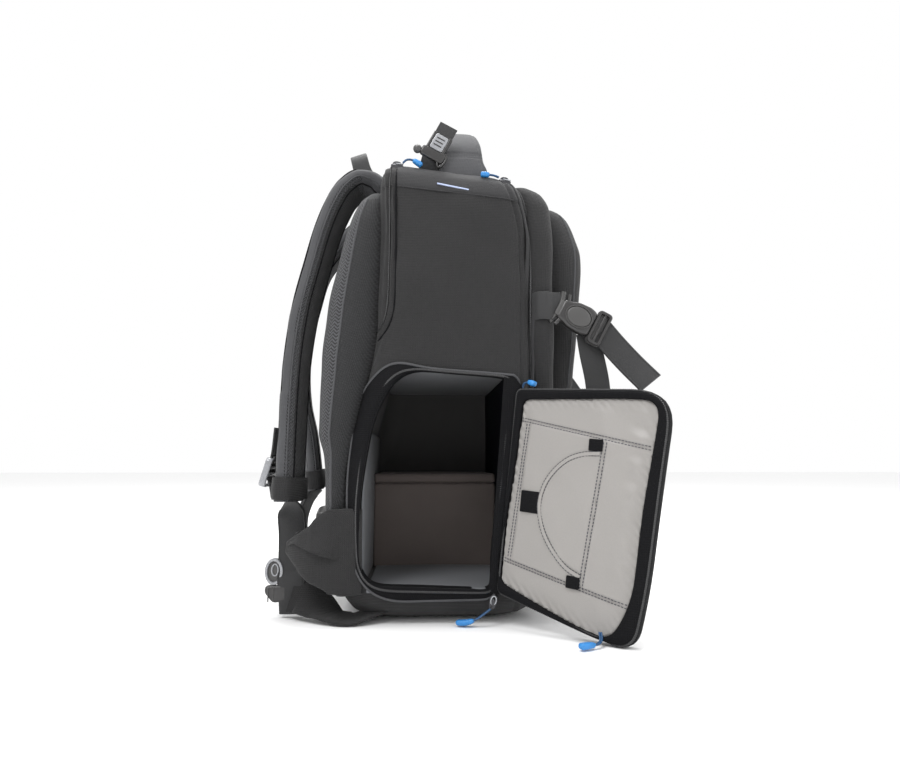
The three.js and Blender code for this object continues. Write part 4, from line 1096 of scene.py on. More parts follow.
def cavity_skin(shrink=0.0):
    """The hollow inside the bag, from the bay's floor to one wall under the top."""
    low = (BAY_FLOOR + BODY_WALL) / BODY_HEIGHT

    def place(u, v):
        at = low + (1 - low) * v
        back, front, half, corner, slope = read_rows(BODY_SECTIONS, at)
        wall = BODY_WALL + shrink
        x, y = plan_point(u, back * BODY_DEPTH - wall, front * BODY_DEPTH + wall,
                          half * BODY_WIDTH / 2 - wall, corner * BODY_CORNER - BODY_WALL, EVEN_SHARES)[:2]
        z = at * BODY_HEIGHT - BODY_WALL + slope * y
        return np.c_[x, y, z]

    return skin(120, 60, place, wrap=True)


def opening_outline():
    outline = round_corners(OPENING_CORNERS, OPENING_LENGTH, OPENING_HEIGHT)
    return outline + [OPENING_FRONT, OPENING_SILL]


def door_frame():
    up = np.array([0, -math.sin(HINGE_LEAN), math.cos(HINGE_LEAN)])
    closed = np.array([0, math.cos(HINGE_LEAN), math.sin(HINGE_LEAN)])
    out = closed * math.cos(DOOR_SWING) - np.array([1, 0, 0]) * math.sin(DOOR_SWING)
    return out, up, np.cross(out, up)


DOOR_OUT, DOOR_UP, DOOR_FACE = door_frame()


def door_point(out, up, proud):
    """Points of the door's own frame: out from the hinge, up along it and proud of its lining."""
    out, up, proud = (np.asarray(value, float)[..., None] for value in (out, up, proud))
    return HINGE_BOTTOM + DOOR_OUT * out + DOOR_UP * up + DOOR_FACE * proud


def layer_place(sections, form, side, root, relief=None):
    """Gives the places on a padded layer on the back or the front, from its root out to its reach."""
    stops = (0, 0.06, 0.94, 1)
    heights = (0, 0, 1, 1)
    shrink = (0.05, 1, 1, 0.05)
    shares = BACK_SHARES if side > 0 else FRONT_SHARES

    def place(u, v):
        at = np.interp(v, stops, heights)
        reach, half = read_rows(sections, at)
        z = form["low"] + (form["high"] - form["low"]) * at
        outer = side * reach * form["reach"]
        inner = root(z)
        back, front = (outer, inner) if side > 0 else (inner, outer)
        x, y, out_x, out_y = plan_point(u, back, front, half * form["width"] / 2, form["corner"], shares)
        scale = np.interp(v, stops, shrink)
        middle = (back + front) / 2
        if relief:
            depth = relief(x, y, z, out_y) * np.where(scale < 1, 0, 1)
            x, y = x + out_x * depth, y + out_y * depth
        return np.c_[x * scale, middle + (y - middle) * scale, z]

    return place


def layer_skin(place, side, columns=220, rows=160):
    """The closed skin of a padded layer."""
    shares = BACK_SHARES if side > 0 else FRONT_SHARES
    lengths = BACK_LENGTHS if side > 0 else FRONT_LENGTHS
    stops = np.concatenate([[0], np.cumsum(shares)])

    def cover(u, v):
        return np.c_[np.interp(u, stops, lengths), v * 0.45]

    return skin(columns, rows, place, cover, wrap=True)


def body_edge(side, sink):
    """How deep the root of a layer lies, sunk into the body's cloth."""
    column = 0 if side > 0 else 1

    def root(z):
        share = read_rows(BODY_SECTIONS, np.clip(z / BODY_HEIGHT, 0, 1))[column]
        return share * BODY_DEPTH - side * sink

    return root


def coil(points, ups, width=3.2 * MM, height=1.6 * MM, pitch=2.0 * MM):
    """A zip's closed coil: a low ridge with a tooth at each pitch."""
    points = np.array(points)
    rows = max(8, int(reaches(points)[-1] / pitch * 3))
    line = even_path(points, rows + 1)
    lifts = even_path(np.array(ups), rows + 1) if np.ndim(ups) > 1 else np.tile(ups, (rows + 1, 1))
    tangent = unit_rows(np.gradient(line, axis=0))
    sides = np.cross(lifts, tangent)
    sides = unit_rows(sides)

    def place(u, v):
        i = whole(v, rows)
        turn = u * 2 * math.pi
        tooth = 0.75 + 0.25 * np.cos(i * 2 * math.pi / 3)
        x = np.cos(turn) * width / 2 * tooth
        y = np.sin(turn) * height / 2 * tooth
        return line[i] + sides[i] * x[:, None] + lifts[i] * y[:, None]

    return skin(8, rows, place, wrap=True)


def ribbon(points, ups, width, thickness, power=5, around=12):
    """A flat strip laid along points of a surface, square to its normals."""
    points, ups = np.array(points), np.array(ups)
    tangent = np.gradient(points, axis=0)
    across = np.cross(ups, tangent)
    return sweep(points, width, thickness, across, power, around, samples=1)


# Sizes and colours that can be set

def colour(name, description, *shade):
    """Property that holds a colour."""
    return bpy.props.FloatVectorProperty(name=name, description=description, default=shade, subtype="COLOR")


def measure(name, description, length):
    """Property that holds a length."""
    return bpy.props.FloatProperty(name=name, description=description, default=length, unit="LENGTH")


class BackpackLooks(bpy.types.PropertyGroup):
    """Sizes of the cloth's detail, and the colours."""

    weave_pitch: measure("Weave pitch", "Distance between two threads", 1.7 * MM)
    wrinkle_depth: measure("Wrinkle depth", "Depth of the body's soft wrinkles", 0.9 * MM)
    stitch_pitch: measure("Stitch pitch", "Distance between two stitches", 3 * MM)
    binding_lift: measure("Binding lift", "How far the opening's binding stands proud", 2.4 * MM)
    cloth: colour("Cloth", "Main cloth", 0.0132, 0.0129, 0.0134)
    patch: colour("Patch", "Smooth cloth of the handle and top", 0.0520, 0.0525, 0.0560)
    # Lighter than the body's cloth: partly a different cloth, partly painted light where the top faces up
    top: colour("Top", "Cloth of the patch over the top", 0.0230, 0.0228, 0.0240)
    binding: colour("Binding", "Tape round the opening and the door", 0.0030, 0.0030, 0.0038)
    webbing: colour("Webbing", "Straps", 0.0150, 0.0150, 0.0158)
    # Darkened as painted shade for the back pad; the braid lifts it again on the straps as painted light
    mesh: colour("Mesh", "Spacer mesh of the back and straps", 0.0130, 0.0132, 0.0145)
    bay: colour("Bay", "Lining of the bay's walls", 0.068, 0.066, 0.065)
    bay_light: colour("Bay floor", "Lighter lining of the bay's floor and ceiling", 0.135, 0.140, 0.150)
    bay_dark: colour("Bay front wall", "Dark lining of the bay's front wall", 0.0040, 0.0044, 0.0070)
    divider: colour("Divider", "Warm nap of the upright divider", 0.125, 0.104, 0.096)
    door: colour("Door lining", "Light satin lining of the door", 0.262, 0.250, 0.238)
    plastic: colour("Dark plastic", "Buckles", 0.020, 0.019, 0.019)
    locks: colour("Grey plastic", "Ladder locks", 0.24, 0.245, 0.26)
    slider: colour("Slider", "Zip sliders", 0.06, 0.06, 0.065)
    ring: colour("Ring", "Bright rings on the sliders", 0.38, 0.39, 0.41)
    teeth: colour("Teeth", "Zip coils", 0.010, 0.010, 0.011)
    pull: colour("Pull", "Zip pulls and the accents on the elastic", 0.022, 0.200, 0.520)
    thread: colour("Thread", "Seam thread", 0.045, 0.045, 0.055)
    tack: colour("Tack", "Pale thread under the handle", 0.36, 0.42, 0.60)
    worn: colour("Worn plastic", "Lighter plastic of the buckles", 0.050, 0.049, 0.048)
    cord: colour("Cord", "Cords between sliders and pulls", 0.012, 0.060, 0.150)
    floor: colour("Floor", "Pale floor", 0.92, 0.92, 0.92)


class PieceOperator:
    """What every operator of the bag shares."""

    bl_options = {"REGISTER", "UNDO"}


class BACKPACK_OT_shell(PieceOperator, bpy.types.Operator):
    """Makes the bag's body with its side opening"""

    bl_idname = "backpack.shell"
    bl_label = "Body"

    def execute(self, context):
        outer = body_skin()
        shell = finished("bag_body", outer, ["body_cloth", "bay_lining", "top_cloth"])
        hollow = finished("hollow", cavity_skin(), ["bay_lining"])
        cut(shell, hollow, "DIFFERENCE")
        hole = opening_outline()
        deep = [NEAR - BODY_WALL, NEAR + BODY_WALL * 3]
        cutter = plate(hole, (sum(deep) / 2, 0, 0), (0, 1, 0), (0, 0, 1), deep[1] - deep[0], rounding=0)
        door_hole = finished("door_hole", cutter, ["bay_lining"])
        cut(shell, door_hole, "DIFFERENCE")
        for extra in (hollow, door_hole):
            bpy.data.objects.remove(extra)
        self.line_inside(shell)
        dress(shell, "fabric", "bag_shell")
        return {"FINISHED"}

    def line_inside(self, shell):
        """Gives the faces of the hollow the lining, and the top its patch."""
        tree = BVHTree.FromBMesh(body_skin(-3 * MM, 100, 80, detail=False))
        for face in shell.data.polygons:
            hit, normal = tree.find_nearest(face.center)[:2]
            inside = (face.center - hit).dot(normal) < 0
            patch = patch_edge(face.center.y) + 0.7 * MM
            # Faces above the patch's edge take the top cloth, partly painted light for facing up
            smooth = face.center.z > patch and -73 * MM < face.center.y < 54 * MM
            face.material_index = 1 if inside else 2 if smooth else 0


class BACKPACK_OT_bay(PieceOperator, bpy.types.Operator):
    """Lines the camera bay with its padded walls, shelf, divider and floor mat"""

    bl_idname = "backpack.bay"
    bl_label = "Camera bay"

    def board(self, name, low, high, finish, puff=2.0 * MM):
        """A padded board with soft edges, crowned on its broad faces."""
        low, high = np.array(low), np.array(high)
        size, middle = high - low, (low + high) / 2
        bm = bmesh.new()
        bmesh.ops.create_cube(bm, size=1)
        bmesh.ops.scale(bm, vec=Vector(size), verts=bm.verts)
        bmesh.ops.bevel(bm, geom=bm.edges[:], offset=min(size) * 0.32, segments=4, profile=0.5,
                        affect="EDGES", material=-1)
        long_edges = [edge for edge in bm.edges if edge.calc_length() > 30 * MM]
        bmesh.ops.subdivide_edges(bm, edges=long_edges, cuts=14, use_grid_fill=True)
        thin = int(np.argmin(size))
        broad = [axis for axis in range(3) if axis != thin]
        for vert in bm.verts:
            shares = [1 - (2 * vert.co[axis] / size[axis]) ** 2 for axis in broad]
            crown = puff * max(shares[0], 0) * max(shares[1], 0)
            vert.co[thin] += math.copysign(crown * 0.5, vert.co[thin])
        bmesh.ops.translate(bm, verts=bm.verts, vec=Vector(middle))
        bmesh.ops.recalc_face_normals(bm, faces=bm.faces)
        return finished(name, bm, [finish])

    def execute(self, context):
        room = finished("room", cavity_skin(SEAT), ["bay_lining"])
        for node, finish in (("bay_ceiling", "bay_light"), ("bay_front_wall", "bay_dark"),
                             ("bay_rear_wall", "bay_light"), ("bay_shelf", "bay_divider"),
                             ("bay_divider", "bay_divider")):
            low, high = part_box(node)
            piece = self.board(node.replace("bay_", "padded_"), low, high, finish)
            cut(piece, room, "INTERSECT")
            dress(piece, "bay_lining", node)
        bpy.data.objects.remove(room)
        low = (NEAR + BODY_WALL * 0.5, OPENING_FRONT + 2 * MM, BAY_FLOOR - 0.5 * MM)
        high = (-NEAR - BODY_WALL * 1.5, OPENING_FRONT + OPENING_LENGTH - 8 * MM, BAY_FLOOR + 3 * MM)
        mat = self.board("floor_mat", low, high, "bay_light", puff=1.5 * MM)
        dress(mat, "bay_lining")
        return {"FINISHED"}


class BACKPACK_OT_opening(PieceOperator, bpy.types.Operator):
    """Binds the opening's edge with tape, piping and its half of the zip"""

    bl_idname = "backpack.opening"
    bl_label = "Opening binding"

    def execute(self, context):
        count = 260
        surface = Surface(body_skin(columns=200, rows=160))
        inner = even_loop(opening_outline(), count)
        outer = round_corners(BINDING_CORNERS, OPENING_LENGTH, OPENING_HEIGHT)
        outer = even_loop(outer + [OPENING_FRONT, OPENING_SILL], count)
        inner = self.facing(inner, outer)
        lift = context.scene.backpack_looks.binding_lift
        edge = np.array([surface.side(y, z) for y, z in outer])
        lip = np.array([surface.side(y, z) for y, z in inner])
        shares = np.linspace(0, 1, 6)
        layers = [edge] + [
            np.array([surface.side(y, z) for y, z in outer * (1 - share) + inner * share])
            for share in shares[1:-1]] + [lip]
        for points in layers:
            settle(points, 8)
        layers = np.array(layers)
        piping = edge[:, 0] + edge[:, 1] * lift * 0.7
        inward = np.array([1.0, 0, 0])
        profile = [
            (0.02, -1.0 * MM, 0), (0.04, lift * 0.8, 0), (0.30, lift * 1.0, 0), (0.62, lift * 1.0, 0),
            (0.94, lift * 0.8, 0), (1.03, 0, 1 * MM), (1.04, 0, 6 * MM), (1.04, 0, 12 * MM),
            (0.90, 0, 12 * MM), (0.90, 0, 5 * MM), (0.80, -1.6 * MM, 0), (0.30, -1.6 * MM, 0),
        ]

        def place(u, v):
            i = whole(v, count) % count
            j = whole(u, len(profile)) % len(profile)
            rows = np.array(profile)[j]
            step = np.clip(rows[:, 0], 0, 1.04) * (len(shares) - 1)
            low = np.minimum(step.astype(int), len(shares) - 2)
            part = (step - low)[:, None, None]
            spots = layers[low, i] * (1 - part) + layers[low + 1, i] * part
            return spots[:, 0] + spots[:, 1] * rows[:, 1][:, None] + inward * rows[:, 2][:, None]

        tape = skin(len(profile), count, place, loop=True)
        fit("opening_binding", tape, ["binding_cloth"], "fabric", angle=80)
        cord = tube(piping, edge[:, 1], 2.6 * MM)
        fit("opening_piping", cord, ["smooth_cloth"], "fabric")
        middle = edge[:, 0] * 0.25 + lip[:, 0] * 0.75
        lifts = edge[:, 1] * 0.25 + lip[:, 1] * 0.75
        teeth = coil(middle + lifts * lift * 1.1, lifts, width=3 * MM, height=1.8 * MM, pitch=1.8 * MM)
        fit("opening_coil", teeth, ["zip_teeth"], "fabric")
        return {"FINISHED"}

    def facing(self, inner, outer):
        """Pairs each outer point with the inner outline's nearest place, kept in order."""
        fine, picks = nearest(inner, outer)
        turns = np.unwrap(picks * 2 * math.pi / len(fine)) * len(fine) / (2 * math.pi)
        turns = np.maximum.accumulate(turns) if turns[-1] > turns[0] else np.minimum.accumulate(turns)
        return fine[np.rint(turns).astype(int) % len(fine)]


class BACKPACK_OT_door(PieceOperator, bpy.types.Operator):
    """Makes the open door: its padded panel, lining, pocket, binding and zip"""

    bl_idname = "backpack.door"
    bl_label = "Door"

    def lining_relief(self, out, up):
        """How far the lining stands proud of its plane."""
        top = 166 * MM - (out - 10.4 * MM) * 0.147
        low = 33.5 * MM - out * 0.16
        left = 12.6 * MM + (up - 32.2 * MM) * 0.0577
        right = 85.9 * MM + (up - 19.1 * MM) * 0.0994
        middle = np.array([98 * MM, 86 * MM])
        reach = np.hypot((out - middle[0]) / 58, (up - middle[1]) / 54) * 1000
        panel = soft_step(up, low, low + 2 * MM) * (1 - soft_step(up, top - 2 * MM, top))
        height = 1.0 * MM * panel
        height -= 0.9 * MM * (bump_line(up - top, 1.5 * MM) + bump_line(up - low, 1.5 * MM))
        height -= 0.8 * MM * (bump_line(out - left, 1.3 * MM) + bump_line(out - right, 1.3 * MM)) * panel
        pocket = (1 - soft_step(reach, 0.97, 1.0)) * (out < right) * panel
        height += 0.9 * MM * pocket
        height += 0.5 * MM * ripple(out, up * 0.7, 11, 0.045)
        puff = 3.0 * MM * np.clip(1 - ((out - 0.07) / 0.085) ** 2, 0, 1) * np.clip(
            1 - ((up - 0.088) / 0.12) ** 2, 0, 1)
        edge = soft_step(out, 112 * MM, 134 * MM)
        height += 1.6 * MM * edge * np.sin(up * 2 * math.pi / (24 * MM) + 3 * out * 30)
        height += 0.9 * MM * ripple(out * 0.4 + up, up * 0.3 - out, 17, 0.06) * soft_step(out, 0.08, 0.1)
        rim = even_loop(round_corners(LINING_CORNERS, DOOR_WIDTH, HINGE_LENGTH), 120)
        spots = np.stack([out, up], axis=-1)
        reach = np.min(np.linalg.norm(spots[..., None, :] - rim, axis=-1), axis=-1)
        gather = 0.6 * MM * np.sin((out + up) * 2 * math.pi / (9 * MM) + out * 90) * bump_line(reach, 7 * MM)
        centre = rim.mean(axis=0)
        turns = np.arctan2(rim[:, 1] - centre[1], rim[:, 0] - centre[0])
        radii = np.hypot(rim[:, 0] - centre[0], rim[:, 1] - centre[1])
        turn = np.arctan2(up - centre[1], out - centre[0])
        inside = np.hypot(out - centre[0], up - centre[1]) < np.interp(turn, turns, radii, period=2 * math.pi)
        return np.where(inside, (height + puff) * soft_step(reach, 1 * MM, 14 * MM) + gather, -1.5 * MM)

    def execute(self, context):
        cloth_width, cloth_low, cloth_high = 152 * MM, -24 * MM, 200 * MM

        def place(u, v):
            out = u * cloth_width
            up = cloth_low + v * (cloth_high - cloth_low)
            return door_point(out, up, self.lining_relief(out, up) - 1.5 * MM)

        def cover(u, v):
            return np.c_[u * cloth_width, v * (cloth_high - cloth_low)]

        panel = skin(110, 150, place, cover, caps=False)
        grown = bmesh.ops.extrude_face_region(panel, geom=panel.faces[:])
        back = [item for item in grown["geom"] if isinstance(item, bmesh.types.BMVert)]
        for vert in back:
            out = (np.array(vert.co) - HINGE_BOTTOM) @ DOOR_OUT
            up = (np.array(vert.co) - HINGE_BOTTOM) @ DOOR_UP
            swell = 1.5 * MM * math.sin(math.pi * min(max(out / DOOR_WIDTH, 0), 1))
            vert.co = door_point(out, up, -DOOR_THICKNESS + 2 * MM - swell)
        bmesh.ops.recalc_face_normals(panel, faces=panel.faces)
        door = finished("door_panel", panel, ["door_lining", "body_cloth"])
        outline = round_corners(DOOR_CORNERS, DOOR_WIDTH, HINGE_LENGTH)
        inner = round_corners(LINING_CORNERS, DOOR_WIDTH, HINGE_LENGTH)
        middle = outline.mean(axis=0)
        trim = middle + (outline - middle) * 0.965
        cutter = plate(trim, door_point(0, 0, 0), DOOR_OUT, DOOR_UP, 0.1, rounding=0)
        edge = finished("door_edge", cutter, ["body_cloth"])
        cut(door, edge, "INTERSECT")
        bpy.data.objects.remove(edge)
        for face in door.data.polygons:
            face.material_index = 0 if face.normal.dot(Vector(DOOR_FACE)) > 0.2 else 1
        dress(door, "door_lining", "side_door")
        self.bind(outline, inner)
        self.sew(context)
        return {"FINISHED"}

    def bind(self, outline, inner):
        """Black tape round the door, with the zip's other half on its rim."""
        count = 260
        outer = even_loop(outline, count)[:-1]
        fine, picks = nearest(inner, outer)
        near = fine[picks]
        for unused in range(6):
            near = (np.roll(near, 1, axis=0) + near * 2 + np.roll(near, -1, axis=0)) / 4
        profile = [
            (0.00, 0.4), (0.12, 1.6), (0.55, 1.8), (0.85, 0.8), (0.97, -1.2), (1.00, -4.0), (1.00, -8.0),
            (0.97, -11.0), (0.85, -12.6), (0.40, -12.8), (0.05, -12.0), (0.05, -6.0),
        ]

        def place(u, v):
            i = whole(v, count) % count
            rows = np.array(profile)[whole(u, len(profile)) % len(profile)]
            share = rows[:, 0][:, None]
            flat = near[i] * (1 - share) + outer[i] * share
            return door_point(flat[:, 0], flat[:, 1], rows[:, 1] * MM)

        tape = skin(len(profile), count, place, loop=True)
        fit("door_binding", tape, ["binding_cloth"], "fabric", angle=80)
        rim = np.vstack([outer, outer[:1]])
        middle = rim.mean(axis=0)
        rim = middle + (rim - middle) * 0.985
        line = door_point(rim[:, 0], rim[:, 1], np.full(len(rim), 0.2 * MM))
        teeth = coil(line, DOOR_FACE, width=3 * MM, height=1.8 * MM, pitch=1.8 * MM)
        fit("door_coil", teeth, ["zip_teeth"], "fabric")

    def sew(self, context):
        """Dark seams, the pocket's bound mouth and the small hook patches of the lining."""
        pitch = context.scene.backpack_looks.stitch_pitch
        lines = [
            ((10.4, 167.4), (139.2, 148.5)), ((10.4, 164.6), (139.2, 145.7)),
            ((0, 34.9), (128.6, 14.2)), ((0, 32.1), (128.6, 11.4)),
            ((20.1, 162.1), (12.6, 32.2)), ((17.3, 162.1), (9.8, 32.2)),
            ((100.4, 149.9), (87.4, 19.1)), ((97.4, 149.9), (84.4, 19.1)),
        ]
        bm = bmesh.new()
        for start, end in lines:
            count = 24
            out = np.linspace(start[0], end[0], count) * MM
            up = np.linspace(start[1], end[1], count) * MM
            points = door_point(out, up, self.lining_relief(out, up) - 1.2 * MM)
            stitches(bm, points, DOOR_FACE, pitch)
        fit("door_seams", bm, ["seam_thread"], "door_lining")
        arc = np.array([
            (95.4, 139), (78, 137), (62.9, 130.4), (45.6, 111.9), (39.5, 89.1), (44.5, 67.8),
            (57.8, 48.2), (71.9, 35.6), (84.9, 30.1),
        ]) * MM
        arc = smooth_path(arc, 60)
        points = door_point(arc[:, 0], arc[:, 1], self.lining_relief(arc[:, 0], arc[:, 1]) - 0.9 * MM)
        bead = sweep(points, 3.4 * MM, 1.6 * MM, np.cross(DOOR_FACE, np.gradient(points, axis=0)), power=3,
                     around=10, samples=1)
        fit("pocket_mouth", bead, ["door_lining"], "door_lining")
        bm = bmesh.new()
        for shift in (-2.0 * MM, 2.0 * MM):
            side = unit_rows(np.cross(DOOR_FACE, np.gradient(points, axis=0)))
            stitches(bm, points + side * shift + DOOR_FACE * 0.1 * MM, DOOR_FACE, pitch, width=0.5 * MM)
        fit("pocket_stitches", bm, ["seam_thread"], "door_lining")
        patches = [(83.7, 97, 140.9, 151.6), (19.4, 38.6, 78.9, 98.9), (72.5, 85, 18.9, 29.6)]
        bm = bmesh.new()
        for left, right, low, high in patches:
            corners = rounded_rectangle((right - left) * MM, (high - low) * MM, 1 * MM)
            middle = (low + high) / 2 * MM
            rise = float(self.lining_relief(np.array([(left + right) / 2 * MM]), np.array([middle]))[0])
            start = door_point(left * MM, middle, rise - 0.8 * MM)
            add_to(bm, plate(corners, start, DOOR_OUT, DOOR_UP, 1.6 * MM))
        fit("hook_patches", bm, ["binding_cloth"], "door_lining")


class BACKPACK_OT_hinge(PieceOperator, bpy.types.Operator):
    """Makes the strip of cloth that the door hangs on"""

    bl_idname = "backpack.hinge"
    bl_label = "Hinge strip"

    def execute(self, context):
        surface = Surface(body_skin(columns=160, rows=120, detail=False))
        count = 40
        shares = np.linspace(0, 1, count + 1)
        up = shares * HINGE_LENGTH
        door = door_point(np.full(count + 1, 5 * MM), up, np.full(count + 1, -5 * MM))
        y = np.interp(shares, [0, 1], [-46 * MM, -64 * MM])
        z = np.interp(shares, [0, 1], [31 * MM, 238 * MM])
        body = np.array([surface.side(a, b, 0.6 * MM)[0] for a, b in zip(y, z)])
        inner_y = np.interp(shares, [0, 1], [-37 * MM, -53 * MM])
        lip = np.array([surface.side(a, b, 0.8 * MM)[0] for a, b in zip(inner_y, z)])
        columns = 12

        def place(u, v):
            i = whole(v, count)
            turn = whole(u, columns) % columns
            path = np.array([0, 0.25, 0.5, 0.75, 0.9, 1, 1, 0.9, 0.75, 0.5, 0.25, 0])[turn]
            under = (turn >= 6)[:, None]
            bend = np.sin(path * math.pi)[:, None]
            part = 2 * path[:, None]
            start = np.where(part < 1, body[i] * (1 - part) + lip[i] * part,
                             lip[i] * (2 - part) + door[i] * (part - 1))
            lift = np.array([-1.0, 0, 0]) * (1.0 * MM + 1.5 * MM * bend)
            return start + lift * np.where(under, 0.1, 1)

        strip = skin(columns, count, place, wrap=True)
        fit("hinge_strip", strip, ["binding_cloth"], "fabric", angle=80)
        return {"FINISHED"}


class BACKPACK_OT_layers(PieceOperator, bpy.types.Operator):
    """Makes the back pad, the front panel and the front pocket"""

    bl_idname = "backpack.layers"
    bl_label = "Back and front"

    def back_relief(self, x, y, z, out_y):
        inner = soft_step(0.112 - np.abs(x), 0, 0.035) * soft_step(out_y, 0.2, 0.9)
        channel = bump_line(x, 13 * MM)
        seams = sum(bump_line(z - place, 6 * MM) for place in (0.125, 0.235, 0.345))
        depth = -(5 * MM * channel + 3.5 * MM * seams) * inner
        return depth + 0.5 * MM * ripple(x, z, 17, 0.07) * soft_step(out_y, 0.1, 0.9)

    def panel_relief(self, x, y, z, out_y):
        return 0.8 * MM * ripple(x + y, z, 19, 0.09)

    def pocket_relief(self, x, y, z, out_y):
        front = np.clip(-out_y, 0, 1)
        crown = 4 * MM * np.clip(1 - (x / 0.1) ** 2, 0, 1) * front
        seam = bump_line(np.abs(x) - 0.074, 1.6 * MM) + bump_line(z - 0.232, 1.6 * MM)
        return crown + 1.0 * MM * ripple(x + y, z, 23, 0.1) - 1.5 * MM * seam * front

    def execute(self, context):
        place = layer_place(BACK_SECTIONS, BACK, 1, body_edge(1, 5 * MM), self.back_relief)
        pad = layer_skin(place, 1)
        for face in pad.faces:
            x, y = abs(face.normal.x), face.normal.y
            face.material_index = 1 if x > 0.30 and y > 0.36 else 0
        pad = fit("back_panel", pad, ["spacer_mesh", "braid_mesh"], "spacer_mesh", "back_pad")
        rows = np.linspace(0.085, 0.915, 150)
        lines = joined()
        for share in (0.508, 0.032):
            here = place(np.full(150, share), rows)
            inner = place(np.full(150, share), rows) * [0.9, 0.9, 1]
            add_to(lines, tube(here, here - inner, 2.4 * MM))
        fit("back_piping", lines, ["smooth_cloth"], "fabric")
        panel = layer_skin(layer_place(PANEL_SECTIONS, PANEL, -1, body_edge(-1, 5 * MM),
                                       self.panel_relief), -1)
        fit("organiser_panel", panel, ["body_cloth"], "fabric", "front_panel")
        outer = layer_place(POCKET_SECTIONS, POCKET, -1, lambda z: np.full_like(z, -92 * MM),
                            self.pocket_relief)
        fit("outer_pocket", layer_skin(outer, -1), ["body_cloth"], "fabric", "front_pocket")
        lines = joined()
        for share in (0.455, 0.865):
            here = outer(np.full(150, share), rows)
            add_to(lines, tube(here, here * [1, 1, 0], 2.2 * MM))
        fit("pocket_piping", lines, ["smooth_cloth"], "fabric")
        return {"FINISHED"}


class BACKPACK_OT_zips(PieceOperator, bpy.types.Operator):
    """Lays the zips of the main and laptop compartments over the body"""

    bl_idname = "backpack.zips"
    bl_label = "Zips"

    def execute(self, context):
        panel = layer_skin(layer_place(PANEL_SECTIONS, PANEL, -1, body_edge(-1, 5 * MM)), -1)
        surface = Surface(joined((body_skin(columns=240, rows=180), 0), (panel, 0)))
        for name, line, top_y, lips in (("main_zip", MAIN_ZIP, -60 * MM, True),
                                        ("laptop_zip", LAPTOP_ZIP, 60 * MM, False)):
            near = [surface.side(y, z, 0.3 * MM, -1) for y, z in smooth_path(line, 90)]
            far = [surface.side(y, z, 0.3 * MM, 1) for y, z in smooth_path(line, 90)][::-1]
            over = [surface.top(x, top_y, 0.3 * MM) for x in np.linspace(-0.122, 0.122, 70)]
            path = near + over + far
            points = even_path(np.array([point for point, normal in path]), 420)
            ups = even_path(np.array([normal for point, normal in path]), 420)
            settle(points, 10)
            settle(ups, 10)
            ups = unit_rows(ups)
            size = 1.0 if lips else 0.75
            teeth = coil(points + ups * 0.6 * MM, ups, width=3.4 * MM * size, height=1.8 * MM)
            fit(name, teeth, ["zip_teeth"], "fabric")
            if lips:
                aside = unit_rows(np.cross(ups, np.gradient(points, axis=0)))
                bands = joined()
                for shift, width in ((-3.9 * MM, 3.6 * MM), (4.4 * MM, 4.6 * MM)):
                    band = ribbon(points + aside * shift + ups * 0.5 * MM, ups, width, 2.2 * MM, power=2.6)
                    add_to(bands, band)
                fit(name + "_lips", bands, ["top_cloth"], "fabric")
        return {"FINISHED"}


